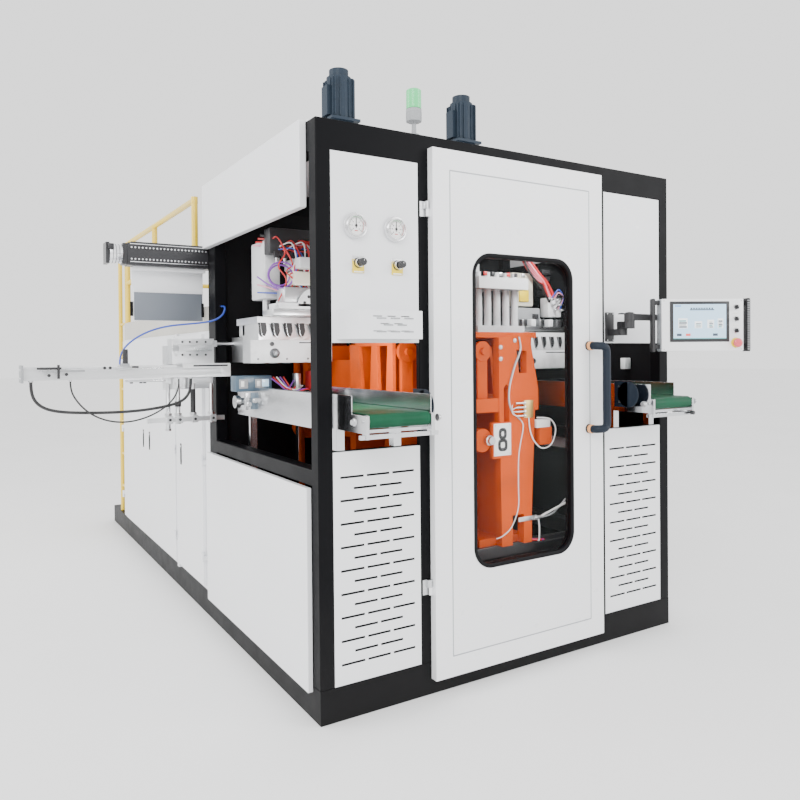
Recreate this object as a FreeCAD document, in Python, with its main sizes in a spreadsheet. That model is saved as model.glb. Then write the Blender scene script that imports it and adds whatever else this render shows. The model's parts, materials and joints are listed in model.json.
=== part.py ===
import FreeCAD, Part
import Sketcher
import math
import os
import re
import types

Vector, Rotation = FreeCAD.Vector, FreeCAD.Rotation

# Driving dimensions, mm. "from_left" and "from_front" are measured from the base's left and front edges.
SIZES = {
    # welded base and the black frame of the moulding station
    "base_width": 2260, "base_depth": 4590, "base_height": 150, "base_beam": 120,
    "tab_side": 120, "tab_thickness": 12, "anchor_radius": 9,
    "frame_height": 2600, "station_depth": 1510, "post": 70, "rear_post_depth": 130,
    "inner_post_left": 520, "inner_post_right": 1665, "inner_post": 70, "inner_post_depth": 30,
    "beam_height": 132,
    "side_rail_bottom": 1020, "side_rail": 70, "front_rail_bottom": 1120, "front_rail": 50,
    "front_rail_depth": 38,
    "roof_thickness": 6, "screen_thickness": 8, "reveal": 0.5,
    # white sheet panels
    "panel_thickness": 20, "panel_recess": 2, "upper_panel_bottom": 1640, "vent_panel_top": 1167,
    "slot_length": 115, "slot_height": 8, "slot_pitch": 51, "slot_gap": 17,
    "first_slot": 85,
    "hood_depth": 100, "hood_left": 151, "hood_right": 473, "hood_back_left": 95,
    "hood_bottom": 1655, "hood_height": 125, "hood_wall": 3,
    "cover_thickness": 35, "cover_front": 91, "cover_back": 1505, "cover_rise": 6,
    "cover_height": 377, "side_panel_thickness": 25, "side_panel_front": 72,
    "side_panel_back": 1507, "side_panel_bottom": 122, "side_panel_top": 1012,
    "wall_thickness": 4, "wall_joint": 1,
    # front door
    "door_left": 573, "door_width": 1102, "door_bottom": 73, "door_height": 2467,
    "door_thickness": 41, "door_gap": 0.3, "window_left": 225, "window_right": 221,
    "window_bottom": 477, "window_height": 1522, "window_radius": 110, "seal_width": 14,
    "seal_lip": 3, "pane_thickness": 6, "pane_gap": 0.1, "border_inset": 95, "border_width": 5,
    "border_depth": 2, "hinge_offset": 11, "hinge_proud": 14, "hinge_radius": 9,
    "hinge_height": 70, "hinge_low": 398, "hinge_high": 2150, "pin_radius": 5,
    "pin_clearance": 0.05, "handle_radius": 21, "handle_reach": 70, "handle_low": 1185,
    "handle_high": 1625, "handle_edge": 45, "handle_side": 62, "handle_bend": 55,
    # air gauges and regulators on the left upper panel
    "gauge_left": 185, "gauge_right": 390, "gauge_height": 2150, "gauge_radius": 48,
    "gauge_depth": 30, "gauge_rim": 4, "dial_depth": 12, "needle_length": 34, "needle_width": 3,
    "needle_thickness": 1.2, "needle_pin": 1.5, "regulator_left": 201, "regulator_right": 402,
    "regulator_height": 1990, "regulator_plate": 60, "plate_thickness": 3,
    "regulator_radius": 20, "regulator_depth": 24, "knob_radius": 17, "knob_length": 30,
    # operator panel on its arm
    "mount_left": 1742, "mount_width": 60, "mount_bottom": 1648,
    "mount_height": 160, "shoulder_x": 1790, "shoulder_y": 75, "elbow_x": 1760, "elbow_y": 150,
    "swivel_x": 2060, "swivel_y": 170, "panel_reach": 107, "panel_shift": 98, "arm_height": 40,
    "arm_width": 46, "arm_radius": 27,
    "arm_low": 1715, "arm_gap": 0.3, "panel_turn": 28, "panel_width": 440, "panel_height": 275,
    "panel_depth": 70, "panel_bottom": 1592, "grip_width": 22, "grip_depth": 45,
    "grip_standoff": 22, "switch_inset": 42, "switch_radius": 11, "switch_length": 14,
    "stop_radius": 28, "stop_length": 20, "stem_radius": 7, "switch_pitch": 62,
    "stop_height": 42, "stop_travel": 4,
    # conveyors
    "conveyor_outer": 62, "conveyor_inner": 430, "conveyor_front": 215, "conveyor_back": 1180,
    "side_sheet": 4, "side_low": 1257, "guide_top": 1417, "belt_outer": 116, "belt_inner": 412,
    "roller_radius": 27, "roller_gap": 0.3, "belt_thickness": 3, "roller_height": 1315,
    "shaft_radius": 8, "bearing_gap": 0.05, "cheek_thickness": 14, "leg_side": 40,
    "rear_leg": 1080, "conveyor_bar": 18,
    # clamp stations, on rails across the station
    "station_pitch": 455, "clamp_front": 100, "parting": 730, "clamp_gap": 14.5,
    "web_thickness": 50, "platen_thickness": 60, "mould_edge": 23, "mould_depth": 149.7,
    "mould_bottom": 1150, "mould_height": 410, "platen_top": 1640, "clamp_top": 1700,
    "flange": 30, "table_top": 590, "table_thickness": 60, "shoe_gap": 0.3, "shoe_height": 32,
    "rail_side": 30, "rail_beam": 80, "rail_beam_height": 90, "rail_front": 330,
    "rail_back": 1130, "rib_thickness": 20, "hub_radius": 60, "shoulder_low": 1288,
    "shoulder_high": 1358,
    # blow stations: servo jack, column and pin carriage
    "column_y": 1080, "column_side": 140, "column_bottom": 1760, "motor_radius": 72,
    "motor_side": 150, "neck_height": 385, "motor_height": 255, "motor_cap": 46,
    "jack_side": 130, "drive_flange": 190, "pin_plate_bottom": 1985,
    "pin_plate_height": 70, "pin_half": 195, "pin_pitch": 72, "cylinder_radius": 23,
    "cylinder_height": 225, "low_plate_height": 45, "blow_pin_radius": 8, "blow_pin_length": 24,
    # die head and extruder
    "head_half": 180, "head_depth": 240, "head_bottom": 1800, "head_height": 330,
    "nozzle_radius": 26, "nozzle_length": 40, "barrel_radius": 95, "barrel_height": 2070,
    "barrel_end": 2900, "screw_radius": 40, "gearbox_half": 220, "gearbox_length": 480,
    "gearbox_height": 420, "extruder_motor_radius": 160, "extruder_motor_length": 560,
    "hopper_y": 2700, "hopper_radius": 330, "hopper_height": 420, "throat_radius": 70,
    "throat_height": 140,
    # neck masks of the two trimming stations
    "mask_outer": 30, "mask_inner": 450, "mask_front": 760, "mask_back": 1000,
    "mask_bottom": 1548, "right_mask_bottom": 1486, "mask_height": 205, "mask_plate": 36,
    "scallop_radius": 24, "mask_rod_radius": 9, "mask_rod_y": 1340, "mask_rod_height": 1660,
    "bracket_left": 92,
    "bracket_width": 60, "bracket_bottom": 1550, "bracket_top": 1695,
    # take-out arm
    "arm_beam_out": 1033, "arm_beam_end": 66, "arm_beam_y": 1310, "arm_beam_side": 70,
    "arm_beam_bottom": 1469, "beam_slot": 10, "block_out": 275, "block_in": 36,
    "block_bottom": 1546, "block_top": 1688, "carrier_thickness": 16,
    "carrier_bottom": 1400, "rod_radius": 13, "rod_bottom": 1165, "bar_height": 26,
    "bar_bottom": 1215, "bar_out": 400, "bar_in": 40, "cord_end": 1461, "hose_end": 1372,
    # horizontal servo axis and its hanging plates
    "axis_out": 463, "axis_in": 29, "axis_bottom": 2113, "axis_height": 129, "axis_depth": 100,
    "axis_motor_length": 118, "axis_motor_side": 120, "ledge_height": 22, "ledge_depth": 60,
    "plate_out": 426, "plate_in": 6, "white_plate_height": 130, "grey_plate_height": 160,
    "hanging_thickness": 14,
    # cabinets, platform, railing and ladder behind the station
    "cabinet_back": 3990, "cabinet_top": 1740, "cabinet_wall": 20, "leaf_thickness": 20,
    "leaf_gap": 0.4, "leaf_bottom": 175, "leaf_top": 1725, "service_front": 1600,
    "service_back": 2168, "double_front": 2232, "double_middle": 3105, "double_back": 3975,
    "opening_inset": 40, "leaf_pin_radius": 4, "leaf_hinge": 12, "service_door_latch": 2088,
    "cabinet_door_front_latch": 2996, "cabinet_door_rear_latch": 3201, "deck_back": 4000, "deck_height": 150,
    "ladder_foot": 4318, "rail_radius": 20, "rail_post_radius": 21,
    "rail_top": 2600, "rail_mid": 2250, "rail_inset": 30, "first_post": 1880,
    "middle_post": 2960, "rung_pitch": 300, "rung_radius": 12,
    # signal beacon
    "beacon_x": 523, "beacon_y": 35, "beacon_pole_radius": 9, "beacon_pole": 62,
    "lamp_radius": 36, "lamp_base": 62, "lamp_lens": 96,
}
DERIVED = {   # sizes that follow from others
    "window_width": "(door_width - window_left - window_right)",
    "clamp_half": "(station_pitch / 2 - clamp_gap)",
    "mould_half": "(station_pitch / 2 - clamp_gap - mould_edge)",
    "motor_bottom": "(frame_height + neck_height)",
    "cover_top": "(frame_height + cover_rise)",
    "cover_bottom": "(frame_height + cover_rise - cover_height)",
}
CORDS = {   # diameter and route of each free cable or hose, from the left and front edges and the floor
    "power_cable": (16, [(-985, 1343, 1461), (-985, 1343, 1405), (-962, 1342, 1352), (-915, 1340, 1318),
                         (-840, 1337, 1300), (-740, 1335, 1292), (-640, 1334, 1288), (-540, 1334, 1287),
                         (-440, 1336, 1291), (-360, 1339, 1299), (-290, 1341, 1310), (-225, 1343, 1326),
                         (-180, 1343, 1358), (-160, 1343, 1408), (-160, 1343, 1461)]),
    "sensor_cable": (9, [(-800, 1320, 1461), (-800, 1320, 1418), (-775, 1317, 1362), (-728, 1314, 1305),
                         (-665, 1312, 1262), (-590, 1311, 1237), (-510, 1312, 1232), (-430, 1314, 1247),
                         (-360, 1316, 1275), (-300, 1318, 1312), (-258, 1319, 1358), (-234, 1320, 1412),
                         (-234, 1320, 1461)]),
    "air_hose": (10, [(-560, 1272, 1547), (-560, 1272, 1592), (-530, 1271, 1646), (-470, 1270, 1695),
                      (-390, 1270, 1734), (-300, 1271, 1757), (-205, 1270, 1768), (-120, 1262, 1776),
                      (-45, 1252, 1790), (5, 1256, 1822), (28, 1282, 1862), (35, 1322, 1880),
                      (35, 1372, 1880)]),
}

doc = FreeCAD.newDocument("BlowMouldingMachine")
sheet = doc.addObject("Spreadsheet::Sheet", "Dims")
for row, (alias, value) in enumerate(SIZES.items(), 1):
    sheet.set("A%d" % row, alias)
    sheet.set("B%d" % row, str(value))
    sheet.setAlias("B%d" % row, alias)
doc.recompute()

NODES = []
S = types.SimpleNamespace(**SIZES)                          # the same values, for swept shapes
X0, X1 = "-base_width/2", "base_width/2"                   # left and right edges
Y0 = "-base_depth/2"                                        # front edge
AXIS_TURNS = {"z": Rotation(), "x": Rotation(Vector(0, 1, 0), 90), "y": Rotation(Vector(1, 0, 0), -90)}


def cells(expression):
    """An expression in words of the tables, as the sheet's cells."""
    text = re.sub(r"[a-z][a-z_0-9]*", lambda m: DERIVED.get(m.group(), m.group()), str(expression))
    return re.sub(r"[a-z][a-z_0-9]*", lambda m: "Dims." + m.group() if m.group() in SIZES else m.group(), text)


def bind(item, place=None, **sizes):
    for name, expression in sizes.items():
        item.setExpression(name, cells(expression))
    if place:
        for axis, expression in zip("xyz", place):
            item.setExpression("Placement.Base." + axis, cells(expression))
    return item


def box(name, spans):
    """A block from three (low, high) spans."""
    item = doc.addObject("Part::Box", name)
    lows = [low for low, high in spans]
    lengths = ["(%s) - (%s)" % (high, low) for low, high in spans]
    return bind(item, lows, Length=lengths[0], Width=lengths[1], Height=lengths[2])


def rod(name, radius, length, place, axis="z"):
    """A cylinder from its start, along an axis."""
    item = doc.addObject("Part::Cylinder", name)
    item.Placement.Rotation = AXIS_TURNS[axis]
    return bind(item, place, Radius=radius, Height=length)


def cone(name, low_radius, high_radius, length, place, axis="z"):
    item = doc.addObject("Part::Cone", name)
    item.Placement.Rotation = AXIS_TURNS[axis]
    return bind(item, place, Radius1=low_radius, Radius2=high_radius, Height=length)


def fuse(name, items):
    item = doc.addObject("Part::MultiFuse", name)
    item.Shapes = items
    item.Refine = True
    return item


def cut(name, base, tools):
    item = doc.addObject("Part::Cut", name)
    item.Base = base
    item.Tool = tools[0] if len(tools) == 1 else fuse(name + "_tools", tools)
    item.Refine = True
    return item


def group(name, items):
    item = doc.addObject("Part::Compound", name)
    item.Links = items
    return item


def shifted(name, item, place):
    """The same piece again, moved."""
    return bind(group(name, [item]), place)


def mirrored(name, item, normal, base=(0, 0, 0)):
    image = doc.addObject("Part::Mirroring", name)
    image.Source = item
    image.Normal = Vector(*normal)
    for axis, expression in zip("xyz", base):
        image.setExpression("Base." + axis, cells(expression))
    return image


def both_sides(name, item):
    """A piece and its mirror image about the machine's middle plane."""
    return group(name, [item, mirrored(name + "_right", item, (1, 0, 0))])


def node(item, label):
    item.Label = label
    NODES.append(item)
    return item


def from_left(value):
    return "(%s + (%s))" % (X0, value)


def from_front(value):
    return "(%s + (%s))" % (Y0, value)


def span(low, high, edge=None):
    return (edge(low), edge(high)) if edge else (low, high)


def spans(x, y, z):
    """Three spans: x from the left edge, y from the front edge, z from the floor."""
    return [span(x[0], x[1], from_left), span(y[0], y[1], from_front), z]


def plane(body, role):
    return next(item for item in body.Origin.OriginFeatures if item.Role == role)


def sketch(body, name, role, level="0"):
    item = body.newObject("Sketcher::SketchObject", name)
    item.AttachmentSupport = [(plane(body, role), "")]
    item.MapMode = "FlatFace"
    item.setExpression("AttachmentOffset.Base.z", cells(level))
    return item


def outline(item, points):
    """A closed outline of straight lines, each corner held from the sketch's origin."""
    first = item.GeometryCount
    count = len(points)
    places = [Vector(10.0 * index + 1, 5.0 * (index % 2) + 1, 0) for index in range(count)]
    for index in range(count):
        item.addGeometry(Part.LineSegment(places[index], places[(index + 1) % count]), False)
    for index in range(count):
        follower = first + (index + 1) % count
        item.addConstraint(Sketcher.Constraint("Coincident", first + index, 2, follower, 1))
    for index, (across, up) in enumerate(points):
        for kind, expression in (("DistanceX", across), ("DistanceY", up)):
            place = item.addConstraint(Sketcher.Constraint(kind, -1, 1, first + index, 1, 1.0))
            item.setExpression("Constraints[%d]" % place, cells(expression))


def pad(body, name, profile, length, reverse=False):
    item = body.newObject("PartDesign::Pad", name)
    item.Profile = profile
    item.setExpression("Length", cells(length))
    item.Reversed = reverse
    return item


def pocket(body, name, profile, length, reverse=False):
    item = body.newObject("PartDesign::Pocket", name)
    item.Profile = profile
    item.setExpression("Length", cells(length))
    item.Reversed = reverse
    return item


def rounded_block(name, x, y, z, radius):
    """A block with its four corners rounded about the y axis, from spans x, y and z."""
    depth = "(%s) - (%s)" % (y[1], y[0])
    wide = box(name + "_wide", [x, y, ("(%s) + %s" % (z[0], radius), "(%s) - %s" % (z[1], radius))])
    tall = box(name + "_tall", [("(%s) + %s" % (x[0], radius), "(%s) - %s" % (x[1], radius)), y, z])
    corners = [rod("%s_corner_%d%d" % (name, i, j), radius, depth,
                   ("(%s) %s %s" % (x[i], "+-"[i], radius), y[0], "(%s) %s %s" % (z[j], "+-"[j], radius)),
                   "y")
               for i in (0, 1) for j in (0, 1)]
    return fuse(name, [wide, tall] + corners)


def bent_path(points, radii):
    """Straight runs through the points, joined by tangent arcs."""
    points = [Vector(*p) for p in points]
    edges, start = [], points[0]
    for before, corner, after, radius in zip(points, points[1:], points[2:], radii):
        back, ahead = (before - corner).normalize(), (after - corner).normalize()
        reach = radius * math.tan((math.pi - back.getAngle(ahead)) / 2)
        enter, leave = corner + back * reach, corner + ahead * reach
        middle_way = (back + ahead).normalize()
        centre = corner + middle_way * math.hypot(radius, reach)
        edges.append(Part.LineSegment(start, enter).toShape())
        edges.append(Part.Arc(enter, centre - middle_way * radius, leave).toShape())
        start = leave
    edges.append(Part.LineSegment(start, points[-1]).toShape())
    return Part.Wire(edges)


def tube(path, radius):
    first = path.Edges[0]
    ring = Part.Wire(Part.makeCircle(radius, first.valueAt(first.FirstParameter),
                                     first.tangentAt(first.FirstParameter)))
    return path.makePipeShell([ring], True, False, 2)


def fixed_shape(name, shape):
    item = doc.addObject("Part::Feature", name)
    item.Shape = shape
    return item


# Base
def base_frame():
    width, depth = (0, "base_width"), (0, "base_depth")
    height = (0, "base_height")
    beams = [box("base_left", spans((0, "base_beam"), depth, height)),
             box("base_right", spans(("base_width - base_beam", "base_width"), depth, height))]
    for name, start in (("front", "0"), ("station", "station_depth - base_beam"),
                        ("cabinet", "cabinet_back - base_beam"), ("rear", "base_depth - base_beam")):
        beams.append(box("base_" + name, spans(width, (start, start + " + base_beam"), height)))
    tabs, holes = [], []
    for i, x in enumerate(("base_beam", "base_width - base_beam - tab_side")):
        for j, y in enumerate(("base_beam", "base_depth - base_beam - tab_side")):
            tabs.append(box("tab_%d%d" % (i, j), spans((x, x + " + tab_side"), (y, y + " + tab_side"),
                                                       (0, "tab_thickness"))))
            holes.append(rod("tab_hole_%d%d" % (i, j), "anchor_radius", "3 * tab_thickness",
                             (from_left(x + " + tab_side / 2"), from_front(y + " + tab_side / 2"),
                              "-tab_thickness")))
    node(cut("base", fuse("base_beams", beams + tabs), holes), "base_frame")


# Black frame of the station
def main_frame():
    up = ("base_height", "frame_height")
    top = ("frame_height - beam_height", "frame_height")
    across = ("0", "base_width")
    parts = []
    for name, x, width, y in (("left", "0", "post", ("0", "post")),
                              ("right", "base_width - post", "post", ("0", "post")),
                              ("inner_left", "inner_post_left", "inner_post", ("0", "inner_post_depth")),
                              ("inner_right", "inner_post_right", "inner_post", ("0", "inner_post_depth")),
                              ("rear_left", "0", "post", ("station_depth - rear_post_depth",
                                                          "station_depth")),
                              ("rear_right", "base_width - post", "post",
                               ("station_depth - rear_post_depth", "station_depth"))):
        parts.append(box("post_" + name, spans((x, x + " + " + width), y, up)))
    parts.append(box("beam_front", spans(across, (0, "post"), top)))
    parts.append(box("beam_rear", spans(across, ("station_depth - post", "station_depth"), top)))
    for name, x in (("left", "0"), ("right", "base_width - post")):
        side = (x, x + " + post")
        inside = ("post", "station_depth - rear_post_depth")
        parts.append(box("beam_" + name, spans(side, inside, top)))
        parts.append(box("rail_" + name, spans(side, inside, ("side_rail_bottom",
                                                              "side_rail_bottom + side_rail"))))
    for name, x in (("left", "base_width / 2 - station_pitch"), ("right", "base_width / 2 + station_pitch")):
        parts.append(box("drive_beam_" + name, spans((x + " - column_side", x + " + column_side"),
                                                     ("column_y - column_side", "column_y - jack_side / 2"),
                                                     ("frame_height - post", "frame_height"))))
        parts.append(box("drive_tie_" + name, spans((x + " + column_side / 2 + 1", x + " + column_side"),
                                                    ("post", "station_depth - post"),
                                                    ("frame_height - post", "frame_height"))))
    for name, x in (("left", ("post", "inner_post_left")),
                    ("right", ("inner_post_right + inner_post", "base_width - post"))):
        parts.append(box("front_rail_" + name, spans(x, ("panel_thickness + panel_recess", "front_rail_depth"),
                                                     ("front_rail_bottom",
                                                      "front_rail_bottom + front_rail"))))
    parts.append(box("door_sill", spans(("inner_post_left + inner_post", "inner_post_right"), (0, "post"),
                                        ("base_height", "base_height + post"))))
    parts.append(rod("hose_port", "mask_rod_radius", "9", (from_left("post / 2"), from_front("hose_end"),
                                                           "1880"), "y"))
    welded = fuse("frame", parts)
    welded.Refine = False
    node(welded, "main_frame")


def roof_and_screens():
    roof = box("roof_sheet", spans((0, "base_width"), ("post", "station_depth"),
                                   ("frame_height", "frame_height + roof_thickness")))
    holes = []
    for name, sign in (("left", "-"), ("right", "+")):
        x = "base_width / 2 %s station_pitch" % sign
        half = "(jack_side / 2 + reveal)"
        holes.append(box("roof_hole_" + name, spans(("%s - %s" % (x, half), "%s + %s" % (x, half)),
                                                    ("column_y - " + half, "column_y + " + half),
                                                    ("frame_height - 1",
                                                     "frame_height + roof_thickness + 1"))))
    node(cut("roof", roof, holes), "roof_plate")
    bulkhead = box("bulkhead_sheet", spans(("post", "base_width - post"),
                                           ("station_depth - post - screen_thickness",
                                            "station_depth - post"),
                                           ("base_height", "frame_height - beam_height")))
    hole = rod("bulkhead_hole", "barrel_radius + 20", "4 * screen_thickness",
               (0, from_front("station_depth - post - 3 * screen_thickness"), "barrel_height"), "y")
    floor = box("floor_sheet", spans(("post", "base_width - post"),
                                     ("post", "station_depth - post - screen_thickness"),
                                     ("base_height", "base_height + screen_thickness")))
    tray = fuse("screens", [cut("bulkhead", bulkhead, [hole]), floor])
    wall = box("right_wall", spans(("base_width", "base_width + wall_thickness"),
                                   ("side_panel_front", "side_panel_back"),
                                   ("side_panel_top + wall_joint", "cover_bottom - wall_joint")))
    node(group("tray_and_wall", [tray, wall]), "inner_screens")


# White sheets
def upper_panels():
    y = ("panel_recess", "panel_recess + panel_thickness")
    z = ("upper_panel_bottom", "frame_height - beam_height - reveal")
    left = box("upper_left", spans(("post + reveal", "inner_post_left - reveal"), y, z))
    right = box("upper_right", spans(("inner_post_right + inner_post + reveal",
                                      "base_width - post - reveal"), y, z))
    node(group("uppers", [left, right]), "upper_panels")


def vent_panel(name, left, right):
    """A sheet with rows of three and two slots in turn."""
    body = doc.addObject("PartDesign::Body", name)
    width, height = "(%s) - (%s) - 2 * reveal" % (right, left), "vent_panel_top - base_height - 2 * reveal"
    bind(body, (from_left("(%s) + reveal" % left), from_front("panel_recess + panel_thickness"),
                "base_height + reveal"))
    face = sketch(body, name + "_face", "XZ_Plane")
    outline(face, [("0", "0"), (width, "0"), (width, height), ("0", height)])
    pad(body, name + "_sheet", face, "panel_thickness")
    step = "(slot_length + slot_gap)"
    for kind, count, rows, start in (("three", 3, 9, "0"), ("two", 2, 8, "slot_pitch")):
        holes = sketch(body, "%s_%s" % (name, kind), "XZ_Plane")
        first = "((%s) - %d * slot_length - %d * slot_gap) / 2" % (width, count, count - 1)
        for index in range(count):
            x = "%s + %d * %s" % (first, index, step)
            z = "first_slot + " + start
            outline(holes, [(x, z), (x + " + slot_length", z), (x + " + slot_length", z + " + slot_height"),
                            (x, z + " + slot_height")])
        slots = pocket(body, "%s_%s_slots" % (name, kind), holes, "panel_thickness + 1", True)
        rows_of = body.newObject("PartDesign::LinearPattern", "%s_%s_rows" % (name, kind))
        rows_of.Originals = [slots]
        rows_of.Direction = (holes, ["V_Axis"])
        rows_of.setExpression("Length", cells("%d * 2 * slot_pitch" % (rows - 1)))
        rows_of.Occurrences = rows
        body.Tip = rows_of
    return body


def vent_panels():
    left = vent_panel("vent_left", "post", "inner_post_left")
    right = vent_panel("vent_right", "inner_post_right + inner_post", "base_width - post")
    node(group("vents", [left, right]), "vent_panels")


def outlet_hood():
    body = doc.addObject("PartDesign::Body", "hood_body")
    bind(body, (from_left(0), from_front("panel_recess"), "hood_bottom"))
    plan = sketch(body, "hood_plan", "XY_Plane")
    outline(plan, [("hood_back_left", "-0.2"), ("hood_left", "-hood_depth"), ("hood_right", "-hood_depth"),
                   ("hood_right", "-0.2")])
    pad(body, "hood_block", plan, "hood_height")
    inner = sketch(body, "hood_inside", "XY_Plane")
    outline(inner, [("hood_back_left + 2 * hood_wall", "0"), ("hood_left + hood_wall",
                                                              "hood_wall - hood_depth"),
                    ("hood_right - hood_wall", "hood_wall - hood_depth"), ("hood_right - hood_wall", "0")])
    pocket(body, "hood_hollow", inner, "hood_height - hood_wall", True)
    face = sketch(body, "hood_slots", "XZ_Plane", "hood_depth")
    for row, count in enumerate((3, 2, 3)):
        for index in range(count):
            x = "(hood_left + hood_right) / 2 + %d - 22" % (70 * (index - (count - 1) / 2))
            z = "%d" % (32 + 32 * row)
            outline(face, [(x, z), (x + " + 44", z), (x + " + 44", z + " + 5"), (x, z + " + 5")])
    pocket(body, "hood_slot_cuts", face, "2 * hood_wall")
    node(body, "outlet_hood")


def side_sheets():
    cover = box("cover_left", spans(("-cover_thickness", "0"), ("cover_front", "cover_back"),
                                    ("cover_bottom", "cover_top")))
    node(both_sides("covers", cover), "side_covers")
    panel = box("side_left", spans(("-side_panel_thickness", "0"), ("side_panel_front", "side_panel_back"),
                                   ("side_panel_bottom", "side_panel_top")))
    node(both_sides("sides", panel), "side_panels")


# Front door
def door():
    x = ("door_left", "door_left + door_width")
    y = ("-door_gap - door_thickness", "-door_gap")
    z = ("door_bottom", "door_bottom + door_height")
    leaf = box("door_sheet", spans(x, y, z))
    window = [from_left("door_left + window_left"), from_left("door_left + window_left + window_width")]
    window_z = ["door_bottom + window_bottom", "door_bottom + window_bottom + window_height"]
    opening = rounded_block("door_opening", window, [from_front("-2 * door_thickness"), from_front("post")],
                            window_z, "window_radius")
    face = ("-door_gap - door_thickness - 1", "border_depth - door_gap - door_thickness")
    rim = []
    for name, inset in (("outer", "border_inset"), ("inner", "border_inset + border_width")):
        rim.append(box("border_" + name, spans(("%s + %s" % (x[0], inset), "%s - (%s)" % (x[1], inset)), face,
                                               ("%s + %s" % (z[0], inset), "%s - (%s)" % (z[1], inset)))))
    knuckles, bores = [], []
    axis = (from_left("door_left - hinge_offset"), from_front("-hinge_proud"))
    for name, height in (("low", "hinge_low"), ("high", "hinge_high")):
        low = "door_bottom + " + height
        knuckles.append(rod("knuckle_" + name, "hinge_radius", "hinge_height / 2", (axis[0], axis[1], low)))
        knuckles.append(box("knuckle_arm_" + name, spans(("door_left - hinge_offset", "door_left"),
                                                         ("-hinge_proud - 4", "-hinge_proud + 4"),
                                                         (low, low + " + hinge_height / 2"))))
        bores.append(rod("knuckle_bore_" + name, "pin_radius + pin_clearance", "hinge_height",
                         (axis[0], axis[1], low + " - 5")))
    whole = fuse("door_whole", [cut("door_plain", leaf, [opening,
                                                         cut("border", rim[0], [rim[1]])])] + knuckles)
    node(cut("door", whole, bores), "door_leaf")

    seal_y = [from_front("-door_gap - door_thickness - seal_lip"), from_front("0 - door_gap")]
    inner = [["%s + seal_width" % window[0], "%s - seal_width" % window[1]],
             ["%s + seal_width" % window_z[0], "%s - seal_width" % window_z[1]]]
    outer = rounded_block("seal_outer", ["%s + pane_gap" % window[0], "%s - pane_gap" % window[1]], seal_y,
                          ["%s + pane_gap" % window_z[0], "%s - pane_gap" % window_z[1]], "window_radius")
    hole = rounded_block("seal_hole", inner[0], [from_front("-2 * door_thickness"), from_front("post")],
                         inner[1], "window_radius - seal_width")
    node(cut("seal", outer, [hole]), "door_seal")
    middle = "-door_gap - door_thickness / 2"
    pane = rounded_block("pane", ["%s + pane_gap" % inner[0][0], "%s - pane_gap" % inner[0][1]],
                         [from_front(middle + " - pane_thickness / 2"),
                          from_front(middle + " + pane_thickness / 2")],
                         ["%s + pane_gap" % inner[1][0], "%s - pane_gap" % inner[1][1]],
                         "window_radius - seal_width - pane_gap")
    node(pane, "door_window")

    x_bar = S.door_left + S.door_width - S.handle_edge - S.base_width / 2
    y_face = -S.door_gap - S.door_thickness - S.base_depth / 2
    foot = x_bar - S.handle_side
    route = [(foot, y_face, S.handle_high), (foot, y_face - S.handle_reach, S.handle_high),
             (x_bar, y_face - S.handle_reach, S.handle_high), (x_bar, y_face - S.handle_reach, S.handle_low),
             (foot, y_face - S.handle_reach, S.handle_low), (foot, y_face, S.handle_low)]
    bends = [S.handle_bend * share for share in (0.5, 0.6, 0.6, 0.5)]
    node(fixed_shape("handle", tube(bent_path(route, bends), S.handle_radius)), "door_handle")

    leaves = []
    for name, height in (("low", "hinge_low"), ("high", "hinge_high")):
        low = "door_bottom + " + height
        middle = low + " + hinge_height / 2 + reveal"
        leaves.append(fuse("hinge_" + name, [
            rod("hinge_pin_" + name, "pin_radius", "hinge_height", (axis[0], axis[1], low)),
            rod("hinge_barrel_" + name, "hinge_radius", "hinge_height / 2", (axis[0], axis[1], middle)),
            box("hinge_leaf_" + name, spans(("door_left - hinge_offset - 36", "door_left - hinge_offset - 8"),
                                            ("-4", "0"), (low, low + " + hinge_height"))),
            box("hinge_web_" + name, spans(("door_left - hinge_offset - 14", "door_left - hinge_offset"),
                                           ("-hinge_proud - 3", "-1"), (middle, low + " + hinge_height")))]))
    node(group("hinges", leaves), "door_hinges")


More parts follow.
